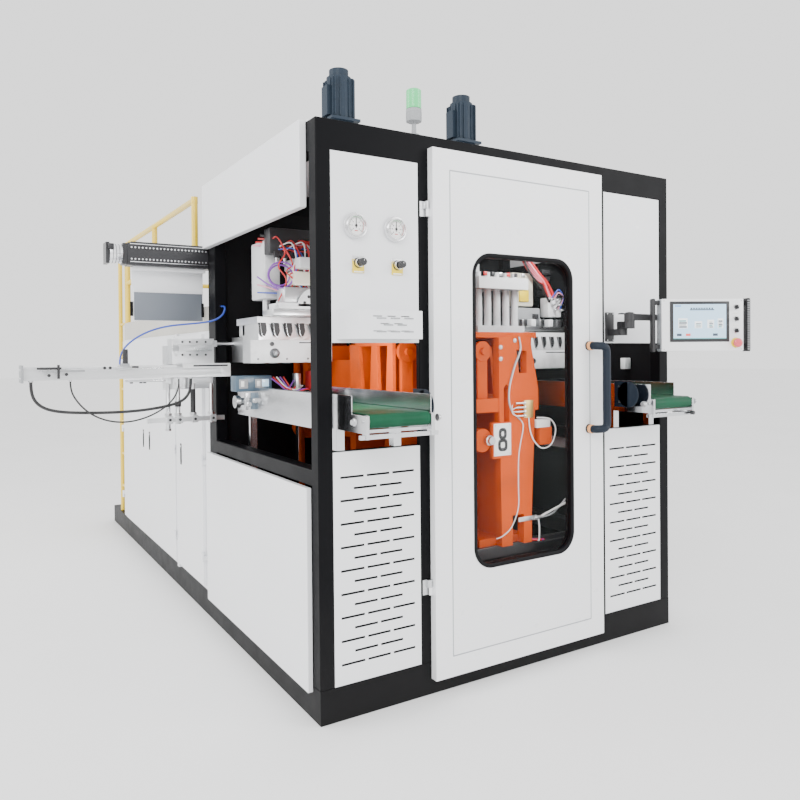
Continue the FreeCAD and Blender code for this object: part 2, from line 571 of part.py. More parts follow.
# Air gauges and regulators
def air_fittings():
    cases, plates = [], []
    for side in ("left", "right"):
        x, y = from_left("gauge_" + side), "panel_recess"
        case = rod("gauge_case_" + side, "gauge_radius", "gauge_depth",
                   (x, from_front("panel_recess - gauge_depth"), "gauge_height"), "y")
        hollow = rod("gauge_hollow_" + side, "gauge_radius - gauge_rim", "dial_depth",
                     (x, from_front("panel_recess - gauge_depth"), "gauge_height"), "y")
        bore = rod("gauge_bore_" + side, "needle_pin + pin_clearance", "dial_depth",
                   (x, from_front("panel_recess - gauge_depth + dial_depth"), "gauge_height"), "y")
        cases.append(cut("gauge_" + side, case, [hollow, bore]))
        dial = "panel_recess - gauge_depth + dial_depth"
        hub = rod("needle_hub_" + side, "2 * needle_width", "needle_thickness + 1",
                  (x, from_front(dial + " - needle_thickness - 1.4"), "gauge_height"), "y")
        pin = rod("needle_pin_" + side, "needle_pin", "dial_depth",
                  (x, from_front(dial + " - needle_thickness - 1"), "gauge_height"), "y")
        hand = box("needle_hand_" + side, [("%s - needle_width / 2" % x, "%s + needle_width / 2" % x),
                                           (from_front(dial + " - needle_thickness - 1"),
                                            from_front(dial + " - 1")),
                                           ("gauge_height - needle_length / 3",
                                            "gauge_height + needle_length")])
        node(fuse("needle_" + side, [hub, pin, hand]), "gauge_needle_" + side)

        x = from_left("regulator_" + side)
        half = "regulator_plate / 2"
        plate = box("plate_" + side, [("%s - %s" % (x, half), "%s + %s" % (x, half)),
                                      (from_front("panel_recess - plate_thickness"),
                                       from_front("panel_recess")),
                                      ("regulator_height - " + half, "regulator_height + " + half)])
        neck = rod("regulator_neck_" + side, "regulator_radius", "regulator_depth",
                   (x, from_front("panel_recess - plate_thickness - regulator_depth"), "regulator_height"),
                   "y")
        hole = rod("regulator_hole_" + side, "stem_radius + pin_clearance", "regulator_depth - 4",
                   (x, from_front("panel_recess - plate_thickness - regulator_depth"), "regulator_height"),
                   "y")
        plates.append(cut("regulator_" + side, fuse("regulator_body_" + side, [plate, neck]), [hole]))
        front = "panel_recess - plate_thickness - regulator_depth - arm_gap"
        grip = rod("knob_grip_" + side, "knob_radius", "knob_length",
                   (x, from_front(front + " - knob_length"), "regulator_height"), "y")
        stem = rod("knob_stem_" + side, "stem_radius", "knob_length",
                   (x, from_front(front + " - knob_length / 2"), "regulator_height"), "y")
        key = box("knob_key_" + side, [("%s - 3" % x, "%s + 3" % x),
                                       (from_front(front + " - knob_length - 5"),
                                                                    from_front(front + " - knob_length")),
                                       ("regulator_height - knob_radius + 3",
                                        "regulator_height + knob_radius - 3")])
        node(fuse("knob_" + side, [grip, stem, key]), "regulator_knob_" + side)
    node(group("air_parts", cases + plates), "air_fittings")


# Operator panel
def link(name, start, end, low, high):
    """A cast arm between two upright pivots, with a round boss at each end."""
    (x, y), (x_end, y_end) = start, end
    length = math.hypot(x_end - x, y_end - y)
    bar = box(name + "_bar", [("0", str(length)), ("-arm_width / 2", "arm_width / 2"),
                              ("(%s) + 4" % low, "(%s) - 4" % high)])
    bar.Placement.Rotation = Rotation(Vector(0, 0, 1), math.degrees(math.atan2(y_end - y, x_end - x)))
    turn = math.atan2(y_end - y, x_end - x)
    bar.setExpression("Placement.Base.x", cells("%s + %r + %r * arm_width / 2" % (X0, x, math.sin(turn))))
    bar.setExpression("Placement.Base.y", cells("%s + %r - %r * arm_width / 2" % (Y0, y, math.cos(turn))))
    height = "(%s) - (%s)" % (high, low)
    ends = [rod("%s_boss_%d" % (name, i), "arm_radius", height, (from_left(p), from_front(q), low))
            for i, (p, q) in enumerate((start, end))]
    return fuse(name + "_arm", [bar] + ends)


def operator_panel():
    shoulder = (S.shoulder_x, -S.shoulder_y)
    elbow = (S.elbow_x, -S.elbow_y)
    swivel = (S.swivel_x, -S.swivel_y)
    levels = ["arm_low", "arm_low + arm_height", "arm_low + 2 * arm_height + arm_gap"]
    pins = {}
    for name, (x, y) in (("shoulder", shoulder), ("elbow", elbow), ("swivel", swivel)):
        pins[name] = (from_left(x), from_front(y))
    plate = box("mount_plate", spans(("mount_left", "mount_left + mount_width"), ("-8", "panel_recess"),
                                     ("mount_bottom", "mount_bottom + mount_height")))
    lug = box("mount_lug", spans(("mount_left + 8", "mount_left + mount_width - 4"), ("-shoulder_y", "-8"),
                                 ("arm_low - 34", "arm_low - arm_gap")))
    boss = rod("mount_boss", "arm_radius", "34 - arm_gap", pins["shoulder"] + ("arm_low - 34",))
    pin = rod("mount_pin", "stem_radius", "arm_height + 30", pins["shoulder"] + ("arm_low - 30",))
    node(fuse("mount", [plate, lug, boss, pin]), "hmi_mount")

    inner = link("inner", shoulder, elbow, levels[0], levels[1])
    bore = rod("inner_bore", "stem_radius + pin_clearance", "arm_height + 20",
               pins["shoulder"] + ("arm_low - 10",))
    pin = rod("elbow_pin", "stem_radius", "2 * arm_height - 10", pins["elbow"] + ("arm_low + 10",))
    node(cut("inner_link", fuse("inner_link_pinned", [inner, pin]), [bore]), "hmi_arm_inner")

    outer = link("outer", elbow, swivel, "arm_low + arm_height + arm_gap", levels[2])
    bore = rod("outer_bore", "stem_radius + pin_clearance", "arm_height + 20",
               pins["elbow"] + ("arm_low + arm_height - 10",))
    pin = rod("swivel_pin", "stem_radius", "2 * arm_height - 10", pins["swivel"] + ("arm_low + 10",))
    node(cut("outer_link", fuse("outer_link_pinned", [outer, pin]), [bore]), "hmi_arm_outer")

    turn = math.radians(S.panel_turn)
    out, along = Vector(-math.sin(turn), -math.cos(turn), 0), Vector(math.cos(turn), -math.sin(turn), 0)
    back = Vector(S.swivel_x - S.base_width / 2, -S.swivel_y - S.base_depth / 2,
                  0) + out * S.panel_reach + along * S.panel_shift

    def turned(item, across, forward, height):
        """Puts a piece made in the panel's own frame on the turned panel."""
        item.Placement = FreeCAD.Placement(back + along * across + out * forward + Vector(0, 0, height),
                                           Rotation(Vector(0, 0, 1), -S.panel_turn) * item.Placement.Rotation)
        return item

    def front_rod(name, radius, length, across, forward, height):
        item = doc.addObject("Part::Cylinder", name)
        item.Placement.Rotation = Rotation(Vector(1, 0, 0), 90)
        bind(item, None, Radius=radius, Height=length)
        return turned(item, across, forward, height)

    def panel_block(name, width, depth, height, across, forward, low):
        """A block whose front is at forward plus depth."""
        item = doc.addObject("Part::Box", name)
        bind(item, None, Length=width, Width=depth, Height=height)
        return turned(item, across, forward, low)

    half, low, depth = S.panel_width / 2, S.panel_bottom, S.panel_depth
    case = panel_block("case", "panel_width", "panel_depth", "panel_height", -half, depth, low)
    ear = panel_block("case_ear", "2 * arm_radius", "panel_reach", "arm_height - 4",
                      -S.panel_shift - S.arm_radius, 0,
                      S.arm_low)
    boss = rod("case_boss", "arm_radius", "arm_height - 4", pins["swivel"] + ("arm_low",))
    bore = rod("case_bore", "stem_radius + pin_clearance", "2 * arm_height",
               pins["swivel"] + ("arm_low - 20",))
    switch_x = half - S.switch_inset
    heights = [low + S.panel_height - 45 - S.switch_pitch * index for index in range(3)]
    sockets = [front_rod("socket_%d" % i, "stem_radius + pin_clearance", "20", switch_x, depth - 18, z)
               for i, z in enumerate(heights + [low + S.stop_height])]
    grips = []
    for side in (-1, 1):
        x = side * (half + S.grip_standoff) - (S.grip_width if side < 0 else 0)
        grips.append(panel_block("grip_%d" % (side + 1), "grip_width", "grip_depth", "panel_height + 10", x,
                                 depth + 6, low - 5))
        for end, z in enumerate((low + 8, low + S.panel_height - 28)):
            grips.append(panel_block("grip_foot_%d%d" % (side + 1, end), "grip_standoff + 2",
                                     "grip_depth - 10", "20",
                                     half if side > 0 else -half - S.grip_standoff - 2, depth - 2, z))
    node(cut("panel_case", fuse("panel_whole", [case, ear, boss] + grips), [bore] + sockets), "hmi_box")
    for index, z in enumerate(heights):
        body = front_rod("switch_body_%d" % index, "switch_radius", "switch_length", switch_x,
                         depth + S.arm_gap, z)
        stem = front_rod("switch_stem_%d" % index, "stem_radius", "17", switch_x, depth - 16, z)
        lever = panel_block("switch_lever_%d" % index, "6", "8", "2 * switch_radius - 2", switch_x - 3,
                            depth + S.switch_length + 8, z - S.switch_radius + 1)
        node(fuse("switch_%d" % index, [body, stem, lever]), "hmi_switch_%d" % (index + 1))
    z = low + S.stop_height
    head = front_rod("stop_head", "stop_radius", "stop_length - 8", switch_x,
                     depth + S.stop_travel + 8, z)
    neck = front_rod("stop_neck", "stem_radius", "30", switch_x, depth - 12, z)
    node(fuse("stop", [head, neck]), "hmi_stop_button")


# Conveyors
def stadium(name, x, y, radius, height):
    """A block with round ends about the x axis, from a front centre to a rear one."""
    length = "(%s) - (%s)" % (x[1], x[0])
    slab = box(name + "_slab", [x, y, ("(%s) - %s" % (height, radius), "(%s) + %s" % (height, radius))])
    ends = [rod("%s_end_%d" % (name, i), radius, length, (x[0], y[i], height), "x") for i in (0, 1)]
    return fuse(name, [slab] + ends)


def conveyors():
    front, back = from_front("-conveyor_front"), from_front("conveyor_back - 2 * roller_radius")
    belt_x = [from_left("belt_outer"), from_left("belt_inner")]
    outer = stadium("belt_outside", belt_x, [front, back], "(roller_radius + roller_gap + belt_thickness)",
                    "roller_height")
    inner = stadium("belt_inside", [belt_x[0] + " - 1", belt_x[1] + " + 1"], [front, back],
                    "(roller_radius + roller_gap)", "roller_height")
    node(both_sides("belts", cut("belt", outer, [inner])), "conveyor_belts")

    cheeks, holes = [], []
    for name, x in (("outer", "belt_outer - cheek_thickness - 4"), ("inner", "belt_inner + 4")):
        cheeks.append(box("cheek_" + name, spans((x, x + " + cheek_thickness"),
                                                 ("-conveyor_front - 30", "conveyor_back"),
                                                 ("side_low + 8", "roller_height + 24"))))
    holes.append(rod("bearing", "shaft_radius + bearing_gap", "conveyor_inner",
                     (from_left("conveyor_outer / 2"), from_front("-conveyor_front"), "roller_height"), "x"))
    nose = [rod("rear_nose", "roller_radius", "belt_inner - belt_outer",
                (from_left("belt_outer"), back, "roller_height"), "x"),
            rod("rear_nose_bar", "shaft_radius", "belt_inner - belt_outer + 2 * cheek_thickness",
                (from_left("belt_outer - cheek_thickness"), back, "roller_height"), "x")]
    outer_sheet = box("sheet_outer", spans(("conveyor_outer", "conveyor_outer + side_sheet"),
                                           ("120", "conveyor_back"), ("side_low", "guide_top")))
    outer_foot = box("sheet_foot", spans(("conveyor_outer", "belt_outer - cheek_thickness - 4"),
                                         ("120", "conveyor_back"), ("side_low", "side_low + side_sheet")))
    foot_step = box("sheet_step", spans(("belt_outer - cheek_thickness - 8",
                                         "belt_outer - cheek_thickness - 4"),
                                        ("120", "conveyor_back"), ("side_low", "side_low + 16")))
    guides = []
    for name, x, lean, start in (("outer", "belt_outer - cheek_thickness - 4", -1, "-conveyor_front + 95"),
                                 ("inner", "belt_inner + 4 + cheek_thickness - side_sheet", 1,
                                  "-conveyor_front - 10")):
        guides.append(box("guide_" + name, spans((x, x + " + side_sheet"), (start, "conveyor_back"),
                                                 ("roller_height + 20", "guide_top"))))
    bars = [box("bar_%s" % name, spans(("belt_outer - cheek_thickness - 4",
                                        "belt_inner + cheek_thickness + 4"),
                                       (y, y + " + conveyor_bar"), ("side_low + 8", "side_low + 8 + 14")))
            for name, y in (("front", "-conveyor_front + 10"), ("middle", "2 * post"),
                            ("back", "rear_leg + 50"))]
    handle_bar = box("bar_out", spans(("belt_outer - 40", "conveyor_inner + 26"),
                                      ("-conveyor_front - 24", "-conveyor_front - 6"),
                                      ("side_low - 14", "side_low + 4")))
    ears = [box("bar_ear_" + name, spans((x, x + " + cheek_thickness"),
                                         ("-conveyor_front - 30", "-conveyor_front + 4"),
                                         ("side_low - 14", "side_low + 10")))
            for name, x in (("outer", "belt_outer - cheek_thickness - 4"), ("inner", "belt_inner + 4"))]
    legs = []
    leg_front = "panel_recess + panel_thickness"
    for name, x in (("outer", "belt_outer - cheek_thickness - 4"), ("inner", "belt_inner + 4 - 26")):
        legs.append(box("leg_front_" + name, spans((x, x + " + leg_side"),
                                                   (leg_front, leg_front + " + leg_side"),
                                                   ("front_rail_bottom + front_rail", "side_low + 10"))))
        low_seat = "table_top - table_thickness - shoe_height"
        foot = "base_height + screen_thickness" if name == "inner" else low_seat
        legs.append(box("leg_back_" + name, spans((x, x + " + leg_side"), ("rear_leg", "rear_leg + leg_side"),
                                                  (foot, "side_low + 10"))))
    frame = fuse("conveyor_whole", cheeks + [outer_sheet, outer_foot, foot_step] + guides + bars
                 + [handle_bar] + ears + legs + nose)
    node(both_sides("conveyors", cut("conveyor", frame, holes)), "conveyor_frames")

    drum = rod("drum", "roller_radius", "belt_inner - belt_outer",
               (from_left("belt_outer"), front, "roller_height"), "x")
    shaft = rod("drum_shaft", "shaft_radius", "belt_inner - belt_outer + 2 * cheek_thickness + 16",
                (from_left("belt_outer - cheek_thickness - 8"), front, "roller_height"), "x")
    roller = node(fuse("roller", [drum, shaft]), "conveyor_roller_left")
    node(mirrored("roller_image", roller, (1, 0, 0)), "conveyor_roller_right")


# Clamp stations
def clamp_rails():
    low = "table_top - table_thickness - shoe_height - rail_beam_height"
    high = "table_top - table_thickness - shoe_height"
    parts = []
    for name, y in (("front", "rail_front"), ("back", "rail_back")):
        middle = y + " + rail_beam / 2"
        parts.append(box("beam_" + name + "_rail", spans(("post", "base_width - post"),
                                                         (y, y + " + rail_beam"),
                                                         (low, high))))
        parts.append(box("track_" + name, spans(("post + 10", "base_width - post - 10"),
                                                (middle + " - rail_side / 2", middle + " + rail_side / 2"),
                                                (high, high + " + rail_side - 6"))))
    for index, x in enumerate(("post", "base_width / 2 - rail_beam / 2", "base_width - post - rail_beam")):
        parts.append(box("rail_tie_%d" % index, spans((x, x + " + rail_beam"),
                                                      ("rail_front", "rail_back + rail_beam"), (low, high))))
        for name, y in (("front", "rail_front"), ("back", "rail_back")):
            parts.append(box("rail_leg_%s_%d" % (name, index), spans(
                (x, x + " + rail_beam"), (y, y + " + rail_beam"), ("base_height + screen_thickness", low))))
    node(fuse("rails", parts), "clamp_rails")


def clamp_carriage():
    """The table that carries one clamp along the rails, centred on x = 0."""
    x = ("-clamp_half + 8", "clamp_half - 8")
    table = box("table", [x, (from_front("clamp_front + 30"), from_front("2 * parting - clamp_front - 30")),
                          ("table_top - table_thickness", "table_top")])
    parts, grooves = [table], []
    shoe_bottom = "table_top - table_thickness - shoe_height"
    for name, y in (("front", "rail_front"), ("back", "rail_back")):
        middle = y + " + rail_beam / 2"
        half = "rail_side / 2 + 18"
        parts.append(box("shoe_" + name, [x, (from_front("%s - (%s)" % (middle, half)),
                                              from_front("%s + %s" % (middle, half))),
                                          (shoe_bottom + " + shoe_gap", "table_top - table_thickness")]))
        half = "rail_side / 2 + shoe_gap"
        grooves.append(box("groove_" + name, [("-2 * clamp_half", "2 * clamp_half"),
                                              (from_front("%s - (%s)" % (middle, half)),
                                               from_front("%s + %s" % (middle, half))),
                                              (shoe_bottom + " - 1",
                                               shoe_bottom + " + rail_side - 6 + shoe_gap")]))
    return cut("carriage", fuse("carriage_whole", parts), grooves)


def lever_web():
    """The front plate of a clamp: a lever column on two legs, with a slot and a window."""
    body = doc.addObject("PartDesign::Body", "web_body")
    bind(body, ("0", from_front("clamp_front + web_thickness"), "0"))
    face = sketch(body, "web_outline", "XZ_Plane")
    outline(face, [("-54", "clamp_top - flange"), ("150", "clamp_top"), ("clamp_half", "shoulder_high + 42"),
                   ("clamp_half", "shoulder_low"), ("clamp_half - 24", "shoulder_low"), ("176", "1050"),
                   ("162", "745"), ("162", "table_top + shoe_gap"), ("106", "table_top + shoe_gap"),
                   ("106", "745"), ("30", "745"), ("30", "table_top + shoe_gap"),
                   ("-42", "table_top + shoe_gap"),
                   ("-48", "1050"), ("-54", "shoulder_low")])
    pad(body, "web_plate", face, "web_thickness")
    holes = sketch(body, "web_holes", "XZ_Plane")
    outline(holes, [("62", "clamp_top - 92"), ("132", "clamp_top - 100"), ("132", "clamp_top - 215"),
                    ("80", "clamp_top - 215")])
    outline(holes, [("-24", "clamp_top - 290"), ("-6", "clamp_top - 270"), ("12", "clamp_top - 290"),
                    ("12", "clamp_top - 470"), ("-24", "clamp_top - 470")])
    pocket(body, "web_openings", holes, "web_thickness + 1", True)
    return body


def side_rib(name, x):
    """A side plate of a clamp, between its front web and its platen, with two windows."""
    body = doc.addObject("PartDesign::Body", name)
    bind(body, (x, from_front(0), "0"))
    face = sketch(body, name + "_outline", "YZ_Plane")
    back = "parting - mould_depth - platen_thickness - 0.3"
    outline(face, [("clamp_front + web_thickness", "clamp_top - flange"), (back, "clamp_top - flange"),
                   (back, "shoulder_low - 60"), ("clamp_front + web_thickness + 60", "shoulder_low"),
                   ("clamp_front + web_thickness", "shoulder_low")])
    pad(body, name + "_plate", face, "rib_thickness")
    holes = sketch(body, name + "_windows", "YZ_Plane")
    outline(holes, [("clamp_front + web_thickness + 46", "clamp_top - 70"),
                    ("clamp_front + web_thickness + 150", "clamp_top - 70"),
                    ("clamp_front + web_thickness + 132", "shoulder_high + 20"),
                    ("clamp_front + web_thickness + 64", "shoulder_high + 20")])
    outline(holes, [("clamp_front + web_thickness + 200", "clamp_top - 70"),
                    (back + " - 40", "clamp_top - 70"),
                    (back + " - 70", "shoulder_high + 20"), ("clamp_front + web_thickness + 220",
                                                             "shoulder_high + 20")])
    pocket(body, name + "_openings", holes, "rib_thickness + 1", True)
    return body


def front_platen():
    """One moving half of a clamp with its half mould, centred on x = 0, in front of the parting plane."""
    back = "parting - mould_depth - 0.3"
    front = "parting - mould_depth - platen_thickness - 0.3"
    web = "clamp_front + web_thickness"
    half = ("-clamp_half + 3", "clamp_half - 3")

    def block(name, x, y, z):
        return box(name, [x, (from_front(y[0]), from_front(y[1])), z])

    parts = [
        lever_web(),
        side_rib("rib_left", "3 - clamp_half"),
        side_rib("rib_right", "clamp_half - rib_thickness - 3"),
        block("platen_plate", half, (front, back), ("table_top + shoe_gap", "platen_top")),
        block("platen_flange", half, ("clamp_front + 10", back), ("clamp_top - flange", "clamp_top - 2")),
        block("platen_shoulder", half, (web, front), ("shoulder_low", "shoulder_high")),
        block("shoulder_left", ("3 - clamp_half", "-54"), ("clamp_front + 6", web),
              ("shoulder_low", "shoulder_high")),
        block("column_rib", ("-20", "20"), (web, front), ("table_top + shoe_gap", "shoulder_low")),
        block("platen_foot", ("-150", "150"), ("clamp_front + web_thickness", front),
              ("table_top + shoe_gap", "table_top + shoe_gap + 40")),
        block("lever_plate", ("-168", "-104"), ("clamp_front + 34", web + " + 6"),
              ("shoulder_high", "clamp_top - 92")),
        rod("lever_eye", "52", "web_thickness - 28", ("-136", from_front("clamp_front + 28"),
                                                      "clamp_top - 100"), "y"),
        rod("lever_eye_pin", "18", "web_thickness - 10", ("-136", from_front("clamp_front + 12"),
                                                          "clamp_top - 100"),
            "y"),
        rod("hub_left", "hub_radius", "web_thickness + 60", ("-150", from_front("clamp_front + 18"),
                                                             "shoulder_low - 142"),
            "y"),
        block("hub_left_arm", ("-150", "-30"), ("clamp_front + 20", web + " + 10"),
              ("shoulder_low - 180", "shoulder_low - 104")),
        rod("hub_right", "hub_radius - 14", "web_thickness + 80",
            ("clamp_half - 52", from_front("clamp_front + 26"), "shoulder_low - 142"), "y"),
        block("mould", ("-mould_half", "mould_half"), (back, "parting - 0.15"),
              ("mould_bottom", "mould_bottom + mould_height")),
    ]
    return fuse("front_half", parts)


def clamps():
    clamp_rails()
    carriage, half = clamp_carriage(), front_platen()
    rear = mirrored("rear_half", half, (0, 1, 0), ("0", from_front("parting"), "0"))
    for name, x in (("a", "-station_pitch"), ("b", "0")):
        node(shifted("carriage_" + name, carriage, (x, "0", "0")), "clamp_carriage_" + name)
        node(shifted("front_" + name, half, (x, "0", "0")), "front_platen_" + name)
        node(shifted("rear_" + name, rear, (x, "0", "0")), "rear_platen_" + name)


# Blow stations
def blow_stations():
    top = "motor_bottom"
    side = "column_side / 2"
    y = from_front("column_y")
    column = box("column", [("-" + side, side), ("%s - 50" % y, "%s + 50" % y),
                            ("column_bottom", "frame_height - post")])
    track = box("column_track", [("-rail_side", "rail_side"), ("%s - 50 - rail_side" % y, "%s - 50" % y),
                                 ("column_bottom", "frame_height - post - 40")])
    neck = box("column_neck", [("-jack_side / 2", "jack_side / 2"),
                               ("%s - jack_side / 2" % y, "%s + jack_side / 2" % y),
                               ("frame_height - post", top + " - 16")])
    flange = box("drive_flange_plate", [("-drive_flange / 2", "drive_flange / 2"),
                                        ("%s - drive_flange / 2" % y, "%s + drive_flange / 2" % y),
                                        (top + " - 16", top)])
    motor = box("motor_core", [("-motor_side / 2 + 10", "motor_side / 2 - 10"),
                               ("%s - motor_side / 2 + 10" % y, "%s + motor_side / 2 - 10" % y),
                               (top, top + " + motor_height - 10")])
    parts = [column, track, neck, flange, motor,
             rod("motor_round", "motor_radius + 2", "motor_height", ("0", y, top)),
             rod("motor_cap_round", "motor_radius - 14", "motor_cap", ("0", y, top + " + motor_height")),
             box("motor_box", [("-motor_side / 2 - 22", "0"), ("%s - 36" % y, "%s + 36" % y),
                               (top + " + 20", top + " + motor_height - 60")])]
    for index in range(5):
        across = "(%d * motor_side / 5)" % (index - 2)
        parts.append(box("fin_x_%d" % index, [("-motor_side / 2", "motor_side / 2"),
                                              ("%s + %s - 3" % (y, across), "%s + %s + 3" % (y, across)),
                                              (top + " + 14", top + " + motor_height - 16")]))
        parts.append(box("fin_y_%d" % index, [("%s - 3" % across, "%s + 3" % across),
                                              ("%s - motor_side / 2" % y, "%s + motor_side / 2" % y),
                                              (top + " + 14", top + " + motor_height - 16")]))
    drive = fuse("drive", parts)
    node(group("drives", [shifted("drive_left", drive, ("-station_pitch", "0", "0")),
                          shifted("drive_right", drive, ("station_pitch", "0", "0"))]), "blow_drives")

    pin_y = from_front("parting")
    shoe_front = "%s - 50 - rail_side - 30" % y
    low_plate = "pin_plate_bottom - cylinder_height - low_plate_height"
    parts = [
        box("pin_plate", [("-pin_half", "pin_half"), ("%s - 75" % pin_y, "%s + 75" % pin_y),
                          ("pin_plate_bottom", "pin_plate_bottom + pin_plate_height")]),
        box("pin_arm", [("-70", "70"), (pin_y, shoe_front + " + 4"),
                        ("pin_plate_bottom + 6", "pin_plate_bottom + pin_plate_height - 6")]),
        box("pin_shoe", [("-rail_side - 26", "rail_side + 26"), (shoe_front, "%s - 50 - 4" % y),
                         ("pin_plate_bottom - 60", "pin_plate_bottom + 190")]),
        box("pin_low_plate", [("-pin_half + 10", "pin_half - 10"), ("%s - 48" % pin_y, "%s + 48" % pin_y),
                              ("pin_plate_bottom - cylinder_height - low_plate_height",
                               "pin_plate_bottom - cylinder_height")]),
    ]
    for index in range(5):
        x = "%d * pin_pitch" % (index - 2)
        parts.append(rod("pin_cylinder_%d" % index, "cylinder_radius", "cylinder_height + 2",
                         (x, pin_y, "pin_plate_bottom - cylinder_height - 1")))
        parts.append(rod("pin_%d" % index, "blow_pin_radius", "blow_pin_length + 1",
                         (x, pin_y, low_plate + " - blow_pin_length")))
        parts.append(rod("pin_head_%d" % index, "cylinder_radius - 6", "36",
                         (x, pin_y, "pin_plate_bottom + pin_plate_height")))
    groove = box("shoe_groove", [("-rail_side - shoe_gap", "rail_side + shoe_gap"),
                                 ("%s - 50 - rail_side - shoe_gap" % y, "%s - 50" % y),
                                 ("pin_plate_bottom - 70", "pin_plate_bottom + 200")])
    carriage = cut("pin_carriage", fuse("pin_carriage_whole", parts), [groove])
    node(shifted("pins_left", carriage, ("-station_pitch", "0", "0")), "blow_carriage_left")
    node(shifted("pins_right", carriage, ("station_pitch", "0", "0")), "blow_carriage_right")


# Extruder
def extruder():
    pin_y = from_front("parting")
    half = "head_depth / 2"
    parts = [box("head_block", [("-head_half", "head_half"), ("%s - %s" % (pin_y, half),
                                                              "%s + %s" % (pin_y, half)),
                                ("head_bottom", "head_bottom + head_height")]),
             cone("head_neck", "barrel_radius + 12", "barrel_radius", "60",
                  ("0", "%s + %s" % (pin_y, half), "barrel_height"), "y")]
    for index in range(5):
        parts.append(cone("nozzle_%d" % index, "nozzle_radius - 8", "nozzle_radius", "nozzle_length + 1",
                          ("%d * pin_pitch" % (index - 2), pin_y, "head_bottom - nozzle_length")))
    node(fuse("head", parts), "die_head")

    start = "parting + head_depth / 2 + 60"
    end = "barrel_end"
    gear = ("barrel_end", "barrel_end + gearbox_length")
    low = "cabinet_top + deck_height"
    motor_foot = (from_front(gear[1] + " + 80"), from_front(gear[1] + " + extruder_motor_length - 80"))
    barrel = [rod("barrel_tube", "barrel_radius", "(%s) - (%s)" % (end, start),
                  ("0", from_front(start), "barrel_height"), "y"),
              box("gearbox", [("-gearbox_half", "gearbox_half"), (from_front(gear[0]), from_front(gear[1])),
                              (low, low + " + gearbox_height")]),
              rod("extruder_motor", "extruder_motor_radius", "extruder_motor_length + 1",
                  ("0", from_front(gear[1] + " - 1"), "barrel_height"), "y"),
              box("extruder_motor_foot", [("-120", "120"), motor_foot, (low, "barrel_height - 120")]),
              box("terminal_box", [("-70", "70"), (from_front(gear[1] + " + 180"),
                                                   from_front(gear[1] + " + 340")),
                                   ("barrel_height + 120", "barrel_height + 250")]),
              rod("throat", "throat_radius", "throat_height", ("0", from_front("hopper_y"), "barrel_height"))]
    for index in range(5):
        barrel.append(rod("heater_%d" % index, "barrel_radius + 16", "190",
                          ("0", from_front("1600 + %d * 225" % index), "barrel_height"), "y"))
    bore = rod("barrel_bore", "screw_radius + pin_clearance", "(%s) - (%s) + 40" % (end, start),
               ("0", from_front(start + " - 1"), "barrel_height"), "y")
    feed = rod("feed_bore", "throat_radius - 30", "throat_height + 1",
               ("0", from_front("hopper_y"), "barrel_height"))
    screw = rod("screw", "screw_radius", "(%s) - (%s)" % (end, start),
                ("0", from_front(start + " + 20"), "barrel_height"), "y")
    node(screw, "extruder_screw")
    base = "barrel_height + throat_height"
    outer = [cone("hopper_cone", "throat_radius", "hopper_radius", "hopper_height * 2 / 3",
                  ("0", from_front("hopper_y"), base)),
             rod("hopper_drum", "hopper_radius", "hopper_height / 3", ("0", from_front("hopper_y"),
                                                                  base + " + hopper_height * 2 / 3"))]
    inner = [cone("hopper_inside", "throat_radius - 30", "hopper_radius - 5", "hopper_height * 2 / 3",
                  ("0", from_front("hopper_y"), base)),
             rod("hopper_mouth", "hopper_radius - 5", "hopper_height", ("0", from_front("hopper_y"),
                                                                   base + " + hopper_height * 2 / 3"))]
    whole = fuse("extruder_whole", barrel + outer)
    node(cut("extruder_hollow", whole, [bore, feed] + inner), "extruder")


# Trimming stations
def neck_mask(name, bottom):
    """The toothed holder that takes the bottles by their necks, between x = mask_outer and mask_inner."""
    x = ("mask_outer", "mask_inner")
    top = "(%s) + mask_height" % bottom
    parts = [
        box(name + "_block", spans(x, ("mask_front", "mask_back"), (bottom, top))),
        box(name + "_plate", spans(("mask_outer - 12", "mask_inner - 6"),
                                   ("mask_front - 14", "mask_back + 60"),
                                   (top, top + " + mask_plate"))),
        box(name + "_carrier", spans(("bracket_left", "bracket_left + bracket_width"),
                                     ("mask_back", "mask_rod_y + mask_rod_radius + 12"),
                                     ("bracket_bottom", "bracket_top"))),
        box(name + "_slide", spans(("mask_outer + 40", "mask_inner - 60"), ("mask_back", "mask_back + 90"),
                                   (bottom + " + 60", top))),
    ]
    notches = []
    for index in range(5):
        place = (from_left("(mask_outer + mask_inner) / 2 + %d * pin_pitch" % (index - 2)),
                 from_front("mask_front"), bottom + " - 1")
        notches.append(rod("%s_notch_%d" % (name, index), "scallop_radius", "mask_height * 0.42", place))
    return cut(name, fuse(name + "_whole", parts), notches)


def neck_masks():
    holder = neck_mask("mask", "mask_bottom")
    bar = rod("mask_rod", "mask_rod_radius", "bracket_left + block_in",
              (from_left("-block_in"), from_front("mask_rod_y"), "mask_rod_height"), "x")
    node(fuse("mask_left", [holder, bar]), "neck_mask_left")
    other = neck_mask("mask_two", "right_mask_bottom")
    arm = box("mask_arm", spans(("post - 40", "bracket_left + bracket_width"),
                                ("mask_rod_y - 10", "station_depth - rear_post_depth"),
                                ("bracket_bottom", "bracket_bottom + 60")))
    node(mirrored("mask_right", fuse("mask_two_whole", [other, arm]), (1, 0, 0)), "neck_mask_right")


